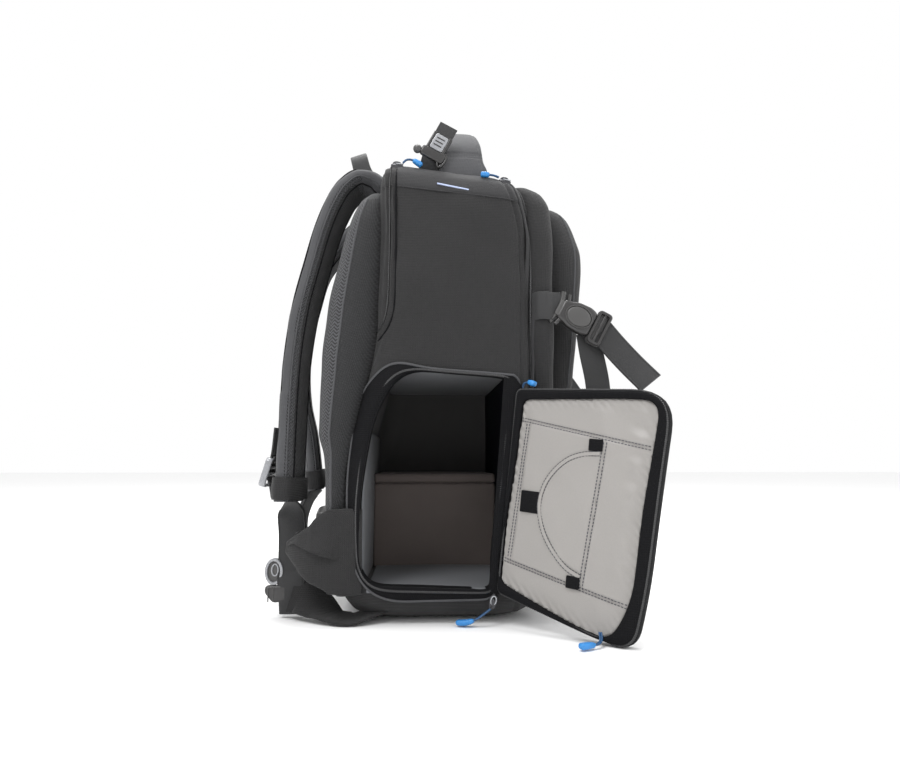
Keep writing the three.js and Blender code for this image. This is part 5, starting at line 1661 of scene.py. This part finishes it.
class BACKPACK_OT_top(PieceOperator, bpy.types.Operator):
    """Makes the handle, the hang loop, the top's webbing and lock, and the sides' seams and elastic"""

    bl_idname = "backpack.top"
    bl_label = "Handle and top"

    def execute(self, context):
        half = [(-x, z, width, y) for x, z, width, y in HANDLE_ROWS]
        rows = half + HANDLE_ROWS[:-1][::-1]
        points = [(x * HANDLE_SPAN / 2, HANDLE_PLACE + y * HANDLE_WIDTH, z * HANDLE_RISE)
                  for x, z, width, y in rows]
        widths = [width * HANDLE_WIDTH for x, z, width, y in rows]
        frames = section_frames(points, widths, HANDLE_THICKNESS, (0, 1, 0), 14)
        total = frames[5][-1]

        def relief(x, y, length, half_width, half_thick):
            near = np.minimum(length, total - length)
            fold = bump_line(near - 47 * MM, 0.9 * MM) + bump_line(near - 50.5 * MM, 0.9 * MM)
            rim = bump_line(np.abs(x) - half_width + 3.2 * MM, 0.8 * MM)
            depth = 1.0 * MM * fold + 0.7 * MM * rim - 0.5 * MM * ripple(x, length, 31, 0.05)
            flare = 3.5 * MM * (1 - soft_step(near, 28 * MM, 44 * MM))
            return x + np.sign(x) * flare * np.abs(x) / half_width, y - np.sign(y) * depth

        handle = sweep(points, widths, HANDLE_THICKNESS, (0, 1, 0), power=4, around=72, samples=16,
                       relief=relief)
        fit("carry_handle", handle, ["smooth_cloth"], "fabric", "top_handle")
        half = [(-x, y, z) for x, y, z in LOOP_ROWS]
        rows = half + LOOP_ROWS[::-1]
        points = [(x * LOOP_HALF_SPAN, y * BODY_DEPTH, z * LOOP_TOP) for x, y, z in rows]
        loop = sweep(points, LOOP_WEBBING, THIN_WEBBING, (0, 1, -0.35))
        fit_web("top_loop", loop, "hang_loop")
        self.lock()
        surface = Surface(body_skin(columns=160, rows=120, detail=False))
        self.tack(surface)
        self.seams(surface)
        self.elastic()
        return {"FINISHED"}

    def lock(self):
        """Webbing that leans on the handle, with its ladder lock."""
        points = [np.array([TOP_WEB_PLACE * x, HANDLE_PLACE + y * HANDLE_WIDTH, z * HANDLE_RISE])
                  for x, y, z in TOP_WEB_ROWS]
        frames = section_frames(points, LOOP_WEBBING, THIN_WEBBING, (0, 1, 0), 12)
        web = sweep(points, LOOP_WEBBING, THIN_WEBBING, (0, 1, 0))
        for edge in (-0.93, 0.93):
            line, ups = edge_line(frames, edge, 0.3, 0.3)
            add_to(web, tube(line, ups, 1.7 * MM))
        fit_web("lock_web", web, "top_web")
        along = unit(points[4] - points[3])
        across = np.cross(along, (1, 0, 0))
        start = points[3] - along * TOP_LOCK[0] * 0.2
        out = np.array([-1.0, 0, 0])
        width = TOP_LOCK[1]
        parts = [(plate(rounded_rectangle(11 * MM, width, 3 * MM), start, along, across, 6 * MM), 1)]
        for side in (-1, 1):
            rail = rounded_rectangle(TOP_LOCK[0], width * 0.13, 1.4 * MM)
            parts.append((plate(rail, start + across * side * width * 0.33, along, across, 5 * MM), 1))
        face = plate(rounded_rectangle(17 * MM, width * 0.54, 2 * MM),
                     start + along * 11 * MM + out * 1.8 * MM, along, across, 3 * MM)
        parts.append((face, 0))
        for place in (15, 19, 23):
            slot = plate(rounded_rectangle(1.2 * MM, width * 0.34, 0.5 * MM),
                         start + along * place * MM + out * 3.3 * MM, along, across, 0.6 * MM, 0)
            parts.append((slot, 1))
        knob = bmesh.new()
        spot = Matrix.Translation(Vector(start + along * 3 * MM + across * width * 0.62 + out * 1 * MM))
        bmesh.ops.create_uvsphere(knob, u_segments=20, v_segments=12, radius=4.6 * MM, matrix=spot)
        parts.append((knob, 2))
        hook = rim_bar(oval(7 * MM, 15 * MM), start + along * 4 * MM - across * width * 0.42, across, along,
                       2.4 * MM, 4 * MM)
        parts.append((hook, 1))
        finishes = ["grey_plastic", "dark_plastic", "worn_plastic"]
        fit("top_ladder_lock", joined(*parts), finishes, "grey_plastic", "top_lock")

    def tack(self, surface):
        """Pale blue bar of thread under each end of the handle."""
        bars = joined()
        along, high = np.linspace(12.5, -19.5, 12) * MM, np.linspace(437.2, 430.6, 12) * MM
        for side in (-1, 1):
            add_to(bars, ribbon(*surface.lay(along, high, 0.9 * MM, side), 1.7 * MM, 1.2 * MM, power=3))
        fit("handle_tacks", bars, ["pale_thread"], "fabric")

    def seams(self, surface):
        """Cords along the top patch's lower edge and the laptop gusset's seam; the gusset's near-black cord
        is also painted shade in its groove.
        """
        cords = joined()
        across = np.linspace(-70, 52.5, 40) * MM
        # The gusset's near-black cord marks the seam and paints the shade of its groove
        lines = [(across, patch_edge(across), 1.3 * MM, 0), (*smooth_path(GUSSET_SEAM, 60).T, 1.6 * MM, 1)]
        for side in (-1, 1):
            for along, high, size, finish in lines:
                add_to(cords, tube(*surface.lay(along, high, 0.3 * MM, side), size), finish)
        fit("body_seams", cords, ["top_cloth", "binding_cloth"], "fabric")

    def elastic(self):
        """Ribbed elastic between the body's rear corner and the back pad, with two blue accents."""
        pieces = joined()
        for z in np.linspace(0.100, 0.160, 44):
            rib = smooth_path(np.array([(-0.128, 0.097, z), (-0.125, 0.108, z), (-0.114, 0.120, z)]), 8)
            add_to(pieces, tube(rib, (0, 0, 1), 1.5 * MM))
        for low, high in (((-0.130, 0.1015, 0.169), (-0.129, 0.1065, 0.178)),
                          ((-0.128, 0.1055, 0.151), (-0.128, 0.1075, 0.137))):
            line = np.linspace(low, high, 6)
            add_to(pieces, sweep(line, 4 * MM, 2 * MM, (0, 1, 0), power=3, samples=2), 1)
        fit("side_elastic", pieces, ["strap_webbing", "blue_pull"], "fabric")


def strap_path(side):
    """Centre line and widths of a shoulder strap."""
    far = side > 0
    points, widths = [], []
    for out, z, spread, width, bow in STRAP_ROWS:
        points.append(np.array([
            side * spread * STRAP_SPREAD,
            out * STRAP_REACH + (bow * FAR_BOW if far else 0),
            z * STRAP_TOP + (FAR_LIFT * (1 - z) if far else 0),
        ]))
        widths.append(width * STRAP_WIDTH)
    return points, widths


class BACKPACK_OT_straps(PieceOperator, bpy.types.Operator):
    """Makes the shoulder straps with their bands, locks, lower webbing and tabs"""

    bl_idname = "backpack.straps"
    bl_label = "Shoulder straps"

    def execute(self, context):
        for name, side in SIDES:
            self.strap(name, side)
            self.lower(name, side)
        return {"FINISHED"}

    def strap(self, name, side):
        points, widths = strap_path(side)
        across = unit((1, side * STRAP_TWIST, 0))
        frames = section_frames(points, widths, STRAP_THICKNESS, across, 12)
        total = frames[5][-1]

        def relief(x, y, length, half_width, half_thick):
            outer = soft_step(-y / half_thick, -0.4, 0.2)
            low = soft_step(length, total * 0.72, total * 0.73)
            near = np.abs(x) / half_width
            seam = bump_line(length - total * 0.728, 1.4 * MM)
            depth = (0.9 * MM * low - 0.9 * MM * seam) * outer
            depth = depth + 0.7 * MM * ripple(length, x * 0.6, 37, 0.05) * outer
            depth = depth - 0.8 * MM * bump_line(y / half_thick - 0.35, 0.07) * near
            return x * (1 + depth / half_width), y * (1 + depth / half_thick)

        pad = sweep(points, widths, STRAP_THICKNESS, across, power=STRAP_POWER, around=72, samples=18,
                    relief=relief)
        # The inner side by how it faces: the lighter braid, partly painted light, where it turns out, and the
        # darker spacer mesh as painted shade where it faces the bag
        for face in pad.faces:
            inward = -face.normal.y - face.normal.z * 0.35
            face.material_index = 2 if inward > 0.93 else 1 if inward > 0.42 else 0
        pad = fit("shoulder_pad_" + name, pad, ["smooth_cloth", "braid_mesh", "spacer_mesh"], "fabric",
                  "strap_pad_" + name)
        edges = joined()
        for y_share, start, finish, size in ((-0.62, 0.2, 1, 1.6), (0.36, 0.05, 0, 1.6),
                                             (0.86, 0.05, 1, 1.8)):
            x_share = (1 - abs(y_share) ** STRAP_POWER) ** (1 / STRAP_POWER)
            for flip in (-1, 1):
                line, ups = edge_line(frames, x_share * flip, y_share, start, 0.97)
                add_to(edges, tube(line, ups, size * MM), finish)
        fit("strap_piping_" + name, edges, ["smooth_cloth", "binding_cloth"], "fabric")
        end = points[-1]
        low = end[2] + BAND_RISE
        grow = (SEAT + BAND_WALL) * 2
        lower, upper = points[-1], points[-2]
        slope = (upper - lower) / (upper[2] - lower[2])
        band_points = [lower + slope * (low - lower[2] + rise) for rise in (0, BAND_HEIGHT / 2, BAND_HEIGHT)]

        def slack(x, y, length, half_width, half_thick):
            middle = 1 - (length / BAND_HEIGHT * 2 - 1) ** 2
            puff = 1 + 0.05 * middle + 0.012 * ripple(x, length * 2 + y, 41, 0.03)
            return x * (1 + (puff - 1) * 0.5), y * puff

        band = sweep(band_points, STRAP_WIDTH + grow, STRAP_THICKNESS + grow, across, power=3.0,
                     around=56, samples=8, relief=slack)
        fit("strap_cuff_" + name, band, ["body_cloth"], "webbing", "strap_band_" + name)
        top = low + BAND_HEIGHT
        face = end[1] + STRAP_THICKNESS / 2 + BAND_WALL + SEAT * 2 + THIN_WEBBING / 2
        lock_place = np.array([end[0], face + TAIL_BOW, top + BAND_HEIGHT * 0.25])
        tail = [
            (end[0], face, end[2] + BAND_RISE * 2),
            (end[0], face + TAIL_BOW * 0.35, top - BAND_HEIGHT * 0.35),
            lock_place,
            (end[0], face + TAIL_BOW * 0.25, top + BAND_HEIGHT * 0.95),
            (end[0], face - TAIL_BOW * 0.25, top + BAND_HEIGHT * 2.3),
        ]
        web = sweep(tail, SIDE_WEBBING, THIN_WEBBING, across)
        fit_web("strap_web_" + name, web, "strap_tail_" + name)
        along = np.array([0, -math.sin(LOCK_TILT), math.cos(LOCK_TILT)])
        start = lock_place - along * STRAP_LOCK[0] / 2
        lock = self.ladder_lock(start, along, across)
        fit("strap_ladder_" + name, lock, ["grey_plastic", "dark_plastic"], "grey_plastic",
            "strap_lock_" + name)

    def ladder_lock(self, start, along, across):
        """A rounded frame with a middle bar, a lip and a dark slot."""
        length, width, thick = STRAP_LOCK
        frame = rim_bar(rounded_rectangle(length * 0.9, width * 0.88, 3 * MM), start + along * length * 0.05,
                        along, across, 3.6 * MM, thick)
        parts = [(frame, 0)]
        for place, wide, high in ((0.36, 0.16, 1.0), (0.62, 0.10, 0.7)):
            bar = rounded_rectangle(length * wide, width * 0.9, 1.5 * MM)
            parts.append((plate(bar, start + along * length * place, along, across, thick * high), 0))
        lip = rounded_rectangle(length * 0.22, width * 0.7, 2 * MM)
        normal = np.cross(unit(along), unit(across))
        parts.append((plate(lip, start + along * length * 0.86 - normal * thick * 0.4, along, across,
                            thick * 0.4), 1))
        return joined(*parts)

    def lower(self, name, side):
        end = strap_path(side)[0][-1]
        far = side > 0
        turn = 0.25 if far else 1
        place_x = side * LOWER_WEB_PLACE
        out = end[1] - STRAP_THICKNESS * 0.22 + (FAR_WEB_OUT if far else 0)
        start_across = np.array([math.cos(0.5), math.sin(0.5) * -side, 0])
        end_across = unit((1 - turn, -side * turn, 0))
        top = end[2] + BAND_RISE / 4
        path = [
            (end[0], end[1], top),
            (end[0] * 0.4 + place_x * 0.6, end[1] * 0.4 + out * 0.6, top - WEBBING * 0.55),
            (place_x, out, top - WEBBING * 1.3),
            (place_x, out, FOLD_TOP),
            (place_x, out, FOLD_TOP - WEBBING * 0.3),
            (place_x, out, FOLD_BOTTOM),
        ]
        acrosses = [start_across] + [end_across] * 5
        thick = [WEBBING_THICKNESS] * 4 + [FOLD_THICKNESS] * 2
        wide = [WEBBING] * 5 + [WEBBING * 0.8]
        frames = section_frames(path, wide, thick, acrosses, 10)
        web = sweep(path, wide, thick, acrosses, samples=10)
        for edge in (-0.95, 0.95):
            for face_side in (-0.7, 0.7):
                line, ups = edge_line(frames, edge * 0.97, face_side, 0.1, 0.9)
                wave = np.sin(np.linspace(0, 9, len(line)))[:, None] * 0.8 * MM
                add_to(web, tube(line + ups * wave * 0.3, ups, 1.6 * MM))
        fit_web("lower_strap_" + name, web, "lower_web_" + name)
        start = np.array([place_x, out + (0 if far else WEBBING * 0.15), CATCH_RISE])
        reach = (FOLD_THICKNESS * 0.6 if far else WEBBING * 0.15) + WEB_LOCK[0]
        corners = [(0, 0.08, 0.16), (0.6, 0, 0.22), (1, 0.40, 0.33), (0.95, 0.66, 0.16), (0, 0.66, 0.16)]
        outline = round_corners([(x, y, radius * WEB_LOCK[0] / WEB_LOCK[1]) for x, y, radius in corners],
                                reach, WEB_LOCK[1])
        catch = joined((plate(outline, start, (0, 1, 0), (0, 0, 1), FOLD_THICKNESS), 0))
        for place in (0.55, 0.78):
            rib = rounded_rectangle(reach * 0.05, WEB_LOCK[1] * 0.56, 0.6 * MM)
            spot = start + np.array([side * FOLD_THICKNESS * 0.5, reach * place, WEB_LOCK[1] * 0.33])
            add_to(catch, plate(rib, spot, (0, 1, 0), (0, 0, 1), 1.2 * MM), 1)
        fit("floor_catch_" + name, catch, ["dark_plastic", "worn_plastic"], "dark_plastic",
            "web_catch_" + name)
        middle = start + np.array([0, reach - WEB_LOCK[0] * 0.5, WEB_LOCK[1] * 1.17 + SEAT])
        ring = rim_bar(oval(WEB_LOCK[0] * 0.86, WEB_LOCK[1] * 0.9, 40), middle, (0, 1, 0), (0, 0, 1),
                       3.4 * MM, FOLD_THICKNESS * 0.8)
        disc = plate(oval(WEB_LOCK[0] * 0.8, WEB_LOCK[1] * 0.84), middle, (0, 1, 0), (0, 0, 1),
                     FOLD_THICKNESS * 0.3)
        swirl = rim_bar(oval(WEB_LOCK[0] * 0.36, WEB_LOCK[1] * 0.44, 30),
                        middle + np.array([side * 1.2 * MM, -1 * MM, 1.5 * MM]), (0, 1, 0), (0, 0, 1),
                        1.6 * MM, 2.4 * MM)
        lock = joined((ring, 0), (disc, 1), (swirl, 0))
        fit("oval_lock_" + name, lock, ["grey_plastic", "worn_plastic"], "grey_plastic", "web_lock_" + name)
        tab_start = out - WEBBING_THICKNESS / 2
        tab = [(place_x * x, tab_start - y * TAB_RUN, z * TAB_HEIGHT) for x, y, z, width, tilt in TAB_ROWS]
        tilts = [math.radians(row[4]) for row in TAB_ROWS]
        acrosses = [(math.cos(tilt), 0, -side * math.sin(tilt)) for tilt in tilts]
        sheet = sweep(tab, [row[3] * TAB_WIDTH for row in TAB_ROWS], WEBBING_THICKNESS * 0.8, acrosses,
                      around=24)
        fit("floor_tab_" + name, sheet, ["body_cloth"], "webbing", "base_tab_" + name)


class BACKPACK_OT_belt(PieceOperator, bpy.types.Operator):
    """Makes the hip wings, their webbing and the buckle"""

    bl_idname = "backpack.belt"
    bl_label = "Hip belt"

    def execute(self, context):
        half = -NEAR
        for name, side in SIDES:
            points = [(side * x * half, y * WING_REACH, z * BELT_HEIGHT) for x, y, z, height in WING_ROWS]
            heights = [row[3] * WING_HEIGHT for row in WING_ROWS]
            wing = sweep(points, heights, WING_THICKNESS, (0, 0, 1), power=4, around=28, samples=10)
            fit("hip_wing_" + name, wing, ["body_cloth"], "fabric", "belt_wing_" + name)
            self.fold(name, side)
        row = [(x * half, y * WING_REACH, z * BELT_HEIGHT) for x, y, z in BELT_ROWS]
        path = [(-x, y, z) for x, y, z in row] + row[:-1][::-1]
        belt = sweep(path, BELT_WEBBING, THIN_WEBBING, (0, 0, 1))
        fit_web("hip_webbing", belt, "hip_belt")
        corners = [(-0.5, -0.36, 0.1), (-0.2, -0.5, 0.12), (0.2, -0.5, 0.12), (0.5, -0.36, 0.1),
                   (0.5, 0.36, 0.1), (0.2, 0.5, 0.12), (-0.2, 0.5, 0.12), (-0.5, 0.36, 0.1)]
        outline = round_corners(corners, BELT_BUCKLE[0], BELT_BUCKLE[1])
        body = plate(outline, row[-1], (1, 0, 0), (0, 0, 1), BELT_BUCKLE[2])
        fit("hip_buckle", body, ["dark_plastic"], "dark_plastic", "belt_buckle")
        return {"FINISHED"}

    def fold(self, name, side):
        """The wing's edge, folded over its outer face, with a soft lip below."""
        reach = np.array([84, 100, 116, 132, 146, 157]) * MM
        out = np.array([138, 141, 141, 138, 131, 122]) * MM
        line = np.array([104, 112, 118, 130, 142, 150, 156.5]) * MM
        high = np.array([101, 108, 108.5, 97, 87.5, 81.5, 77]) * MM
        low = np.array([62, 64, 66, 70, 74.5, 77.2, 74.5]) * MM

        def place(u, v):
            turn = whole(u, 40) % 40
            share = np.where(turn <= 20, turn / 20, (40 - turn) / 20)
            over = turn > 20
            y = np.interp(v, [0, 1], [104 * MM, 156.5 * MM])
            top, bottom = np.interp(y, line, high), np.interp(y, line, low)
            z = top + (bottom - top) * share
            lift = 3.4 * MM + 5.5 * MM * share ** 1.6 * np.sin(math.pi * np.clip(v, 0.02, 1)) ** 0.5
            lift = lift + 1.2 * MM * ripple(y, z, 43, 0.045) * share
            lift = lift - np.where(over, 0, 2.6 * MM) * np.sin(math.pi * np.clip(share, 0.02, 0.98)) ** 0.4
            x = np.interp(y, reach, out) + lift
            return np.c_[side * x, y, z]

        flap = skin(40, 50, place, wrap=True)
        fit("wing_fold_" + name, flap, ["body_cloth"], "fabric")


class BACKPACK_OT_side_straps(PieceOperator, bpy.types.Operator):
    """Makes the side straps: anchor, buckle, spare tail and the strap down to the base"""

    bl_idname = "backpack.side_straps"
    bl_label = "Side straps"

    def execute(self, context):
        along = np.array([0, -math.cos(SIDE_DROP), -math.sin(SIDE_DROP)])
        across = np.array([0, -math.sin(SIDE_DROP), math.cos(SIDE_DROP)])
        tail_along = np.array([0, -math.cos(TAIL_DROP), -math.sin(TAIL_DROP)])
        tail_across = np.array([0, -math.sin(TAIL_DROP), math.cos(TAIL_DROP)])
        for name, side in SIDES:
            start = np.array([side * SOCKET_PLACE, -SOCKET_FRONT, SIDE_HEIGHT])
            socket = self.socket(start, along, across, side)
            fit("buckle_socket_" + name, socket, ["dark_plastic", "worn_plastic"], "dark_plastic",
                "side_socket_" + name)
            anchor = [(side * (PANEL["width"] / 2 + x * SOCKET[2]), -y * SOCKET_FRONT, SIDE_HEIGHT)
                      for x, y in ANCHOR_ROWS]
            web = sweep(anchor, SIDE_WEBBING * 1.15, THIN_WEBBING, (0, 0, 1))
            fit_web("anchor_web_" + name, web, "side_anchor_" + name)
            plug_start = start + along * (SOCKET[0] + SEAT)
            plug = self.plug(plug_start, along, across)
            fit("buckle_plug_" + name, plug, ["dark_plastic", "worn_plastic"], "dark_plastic",
                "side_plug_" + name)
            tail_start = plug_start + along * PLUG[0] * 0.6
            tail = [tail_start + tail_along * t * TAIL_LENGTH + np.array([side * TAIL_FLARE * t * t, 0, 0])
                    for t in (0, 0.3, 0.65, 1)]
            web = sweep(tail, SIDE_WEBBING, THIN_WEBBING, tail_across)
            frames = section_frames(tail, SIDE_WEBBING, THIN_WEBBING, tail_across, 12)
            for edge in (-0.96, 0.96):
                line, ups = edge_line(frames, edge, 0)
                add_to(web, tube(line, ups, 2.9 * MM))
            fit_web("spare_tail_" + name, web, "side_tail_" + name)
            place = SOCKET_PLACE - PLUG[2] / 2 - SEAT - THIN_WEBBING / 2
            load = [(side * place * x, -y * POCKET["reach"], z * SIDE_HEIGHT) for x, y, z in LOAD_ROWS]
            web = sweep(load, SIDE_WEBBING, THIN_WEBBING, (0, 1, 0))
            fit_web("long_strap_" + name, web, "load_strap_" + name)
        return {"FINISHED"}

    def socket(self, start, along, across, side):
        length, width, thick = SOCKET
        normal = np.cross(along, across)
        out = normal * np.sign(normal[0] * side)
        half = [(0.10, 0.30), (0.30, 0.34), (0.45, 0.42), (0.80, 0.45), (1, 0.37)]
        corners = [(x, -y, 0.10) for x, y in half] + [(x, y, 0.10) for x, y in half[::-1]]
        body = plate(round_corners(corners, length, width, 4), start, along, across, thick * 0.8)
        bend = [(0.00, 0.50), (0.06, 0.25), (0.08, 0), (0.06, -0.25), (0.00, -0.50)]
        crescent = smooth_path([start + along * a * length + across * b * width for a, b in bend], 26)
        flange = tube(crescent, out, 5.2 * MM)
        edge = tube(crescent + out * 2.6 * MM + along * 0.8 * MM, out, 1.4 * MM)
        inner = tube(crescent + along * 6.5 * MM + out * 1.5 * MM, out, 3.6 * MM)
        middle = start + along * length * 0.60 + out * thick * 0.30
        dome = plate(oval(length * 0.66, width * 0.62, 36), middle, along, across, thick * 0.55, 0.45)
        ring = rim_bar(oval(length * 0.68, width * 0.64, 36), middle + out * thick * 0.08, along, across,
                       1.1 * MM, thick * 0.3)
        neck = plate(rounded_rectangle(length * 0.2, width * 0.5, 2 * MM), start + along * 1 * MM, along,
                     across, thick * 0.7)
        return joined((body, 0), (flange, 1), (edge, 1), (inner, 0), (dome, 1), (ring, 1), (neck, 1))

    def plug(self, start, along, across):
        length, width, thick = PLUG
        outline = rounded_rectangle(length * 0.78, width * 0.90, 3 * MM)
        frame = rim_bar(outline, start + along * length * 0.1, along, across, 3.4 * MM, thick)
        bar = plate(rounded_rectangle(2.6 * MM, width * 0.9, 1 * MM), start + along * length * 0.42, along,
                    across, thick * 0.7)
        edge = rim_bar(rounded_rectangle(length * 0.98, width * 1.0, 4 * MM), start, along, across,
                       1.1 * MM, thick * 0.5)
        web = plate(rounded_rectangle(length * 0.6, width * 0.84, 1 * MM), start + along * length * 0.18,
                    along, across, thick * 0.3)
        return joined((frame, 0), (bar, 0), (edge, 1), (web, 0))


class BACKPACK_OT_pulls(PieceOperator, bpy.types.Operator):
    """Makes the zip sliders, their cords and the moulded pulls"""

    bl_idname = "backpack.pulls"
    bl_label = "Zip pulls"

    def execute(self, context):
        for name, path in PULL_PATHS.items():
            points = np.array(path) * MM
            self.pull(name, points)
        for name, (spot, ahead, up) in SLIDERS.items():
            self.slider(name, np.array(spot) * MM, unit(ahead), unit(up))
        return {"FINISHED"}

    def pull(self, name, points):
        """A thin doubled cord into a fat moulded end."""
        line = smooth_path(points, 40)
        ahead = np.gradient(line, axis=0)
        side = unit_rows(np.cross(ahead, (0, 0, 1)))
        parts = []
        for shift in (-0.8 * MM, 0.8 * MM):
            parts.append((tube(line[:24] + side[:24] * shift, (0, 0, 1), 1.7 * MM), 1))
        share = np.linspace(0, 1, 20)
        wide = np.interp(share, [0, 0.12, 0.3, 0.7, 0.92, 1], [2.6, 5.4, 6.4, 7.6, 7.2, 4.0]) * MM
        high = np.interp(share, [0, 0.12, 0.5, 0.92, 1], [2.6, 4.6, 5.6, 5.2, 2.6]) * MM
        grip = line[20:]
        parts.append((sweep(grip, wide, high, side[20:], power=2.8, around=16, samples=1), 0))
        fit(name.replace("pull", "puller"), joined(*parts), ["blue_pull", "pull_cord"], "pull_cord", name)

    def slider(self, name, spot, ahead, up):
        """A slider's shaped plate, its bridge and the ring that takes the cord."""
        across = np.cross(up, ahead)
        start = spot - ahead * SLIDER_LENGTH / 2
        corners = [(0, -0.42, 0.2), (0.6, -0.5, 0.25), (1, -0.28, 0.2), (1, 0.28, 0.2), (0.6, 0.5, 0.25),
                   (0, 0.42, 0.2)]
        outline = round_corners(corners, SLIDER_LENGTH, 8 * MM)
        body = plate(outline, start, ahead, across, 4.6 * MM)
        bridge = sweep([start + ahead * 2 * MM + up * 2 * MM, start + ahead * 4 * MM + up * 4.4 * MM,
                        start + ahead * 9 * MM + up * 4.2 * MM, start + ahead * 11 * MM + up * 2 * MM],
                       2.6 * MM, 1.6 * MM, across, power=3)
        ring = rim_bar(oval(8 * MM, 5 * MM, 30), spot + up * 3.2 * MM - ahead * 2 * MM, ahead, across,
                       1.3 * MM, 1.3 * MM, 30, 8)
        parts = joined((body, 0), (bridge, 0), (ring, 1))
        fit(name.replace("slider", "zip_runner"), parts, ["slider_metal", "bright_metal"], "zip_slider",
            name)


class BACKPACK_OT_stage(PieceOperator, bpy.types.Operator):
    """Sets the pale floor, the soft lights and the camera"""

    bl_idname = "backpack.stage"
    bl_label = "Stage"

    def execute(self, context):
        scene = context.scene
        bm = bmesh.new()
        bmesh.ops.create_grid(bm, x_segments=2, y_segments=2, size=FLOOR_SIZE)
        floor = finished("floor", bm, ["pale_floor"])
        world = bpy.data.worlds.new("studio")
        scene.world = world
        world.use_nodes = True
        backdrop = world.node_tree.nodes["Background"]
        backdrop.inputs["Color"].default_value = (1, 1, 1, 1)
        backdrop.inputs["Strength"].default_value = 1.0
        for name, place, size, power in LIGHTS:
            light = bpy.data.lights.new(name, "AREA")
            light.energy = power
            light.size = size
            lamp = bpy.data.objects.new(name, light)
            lamp.location = place
            aim = LIGHT_AIM - Vector(place)
            lamp.rotation_euler = aim.to_track_quat("-Z", "Y").to_euler()
            scene.collection.objects.link(lamp)
        camera = bpy.data.cameras.new("camera")
        camera.lens = CAMERA_LENS
        camera.sensor_width = CAMERA_SENSOR
        eye = bpy.data.objects.new("camera", camera)
        eye.location = CAMERA_PLACE
        forward = Vector((math.cos(CAMERA_TURN) * math.cos(CAMERA_RISE),
                          -math.sin(CAMERA_TURN) * math.cos(CAMERA_RISE), math.sin(CAMERA_RISE)))
        eye.rotation_euler = forward.to_track_quat("-Z", "Y").to_euler()
        scene.collection.objects.link(eye)
        scene.camera = eye
        scene.view_settings.view_transform = "Standard"
        return {"FINISHED"}


OPERATORS = [
    BACKPACK_OT_stage, BACKPACK_OT_shell, BACKPACK_OT_bay, BACKPACK_OT_opening, BACKPACK_OT_door,
    BACKPACK_OT_hinge, BACKPACK_OT_layers, BACKPACK_OT_zips, BACKPACK_OT_top, BACKPACK_OT_straps,
    BACKPACK_OT_belt, BACKPACK_OT_side_straps, BACKPACK_OT_pulls,
]


class BACKPACK_PT_panel(bpy.types.Panel):
    """Lists the bag's operators and looks"""

    bl_label = "Camera Backpack"
    bl_space_type = "VIEW_3D"
    bl_region_type = "UI"
    bl_category = "Backpack"

    def draw(self, context):
        for operator in OPERATORS:
            self.layout.operator(operator.bl_idname)
        for name in BackpackLooks.__annotations__:
            self.layout.prop(context.scene.backpack_looks, name)


CLASSES = [BackpackLooks, *OPERATORS, BACKPACK_PT_panel]


def register():
    for item in CLASSES:
        bpy.utils.register_class(item)
    bpy.types.Scene.backpack_looks = bpy.props.PointerProperty(type=BackpackLooks)


def unregister():
    del bpy.types.Scene.backpack_looks
    for item in reversed(CLASSES):
        bpy.utils.unregister_class(item)


def main():
    register()
    for operator in OPERATORS:
        getattr(bpy.ops.backpack, operator.bl_idname.split(".")[1])()
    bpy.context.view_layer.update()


if __name__ == "__main__":
    main()
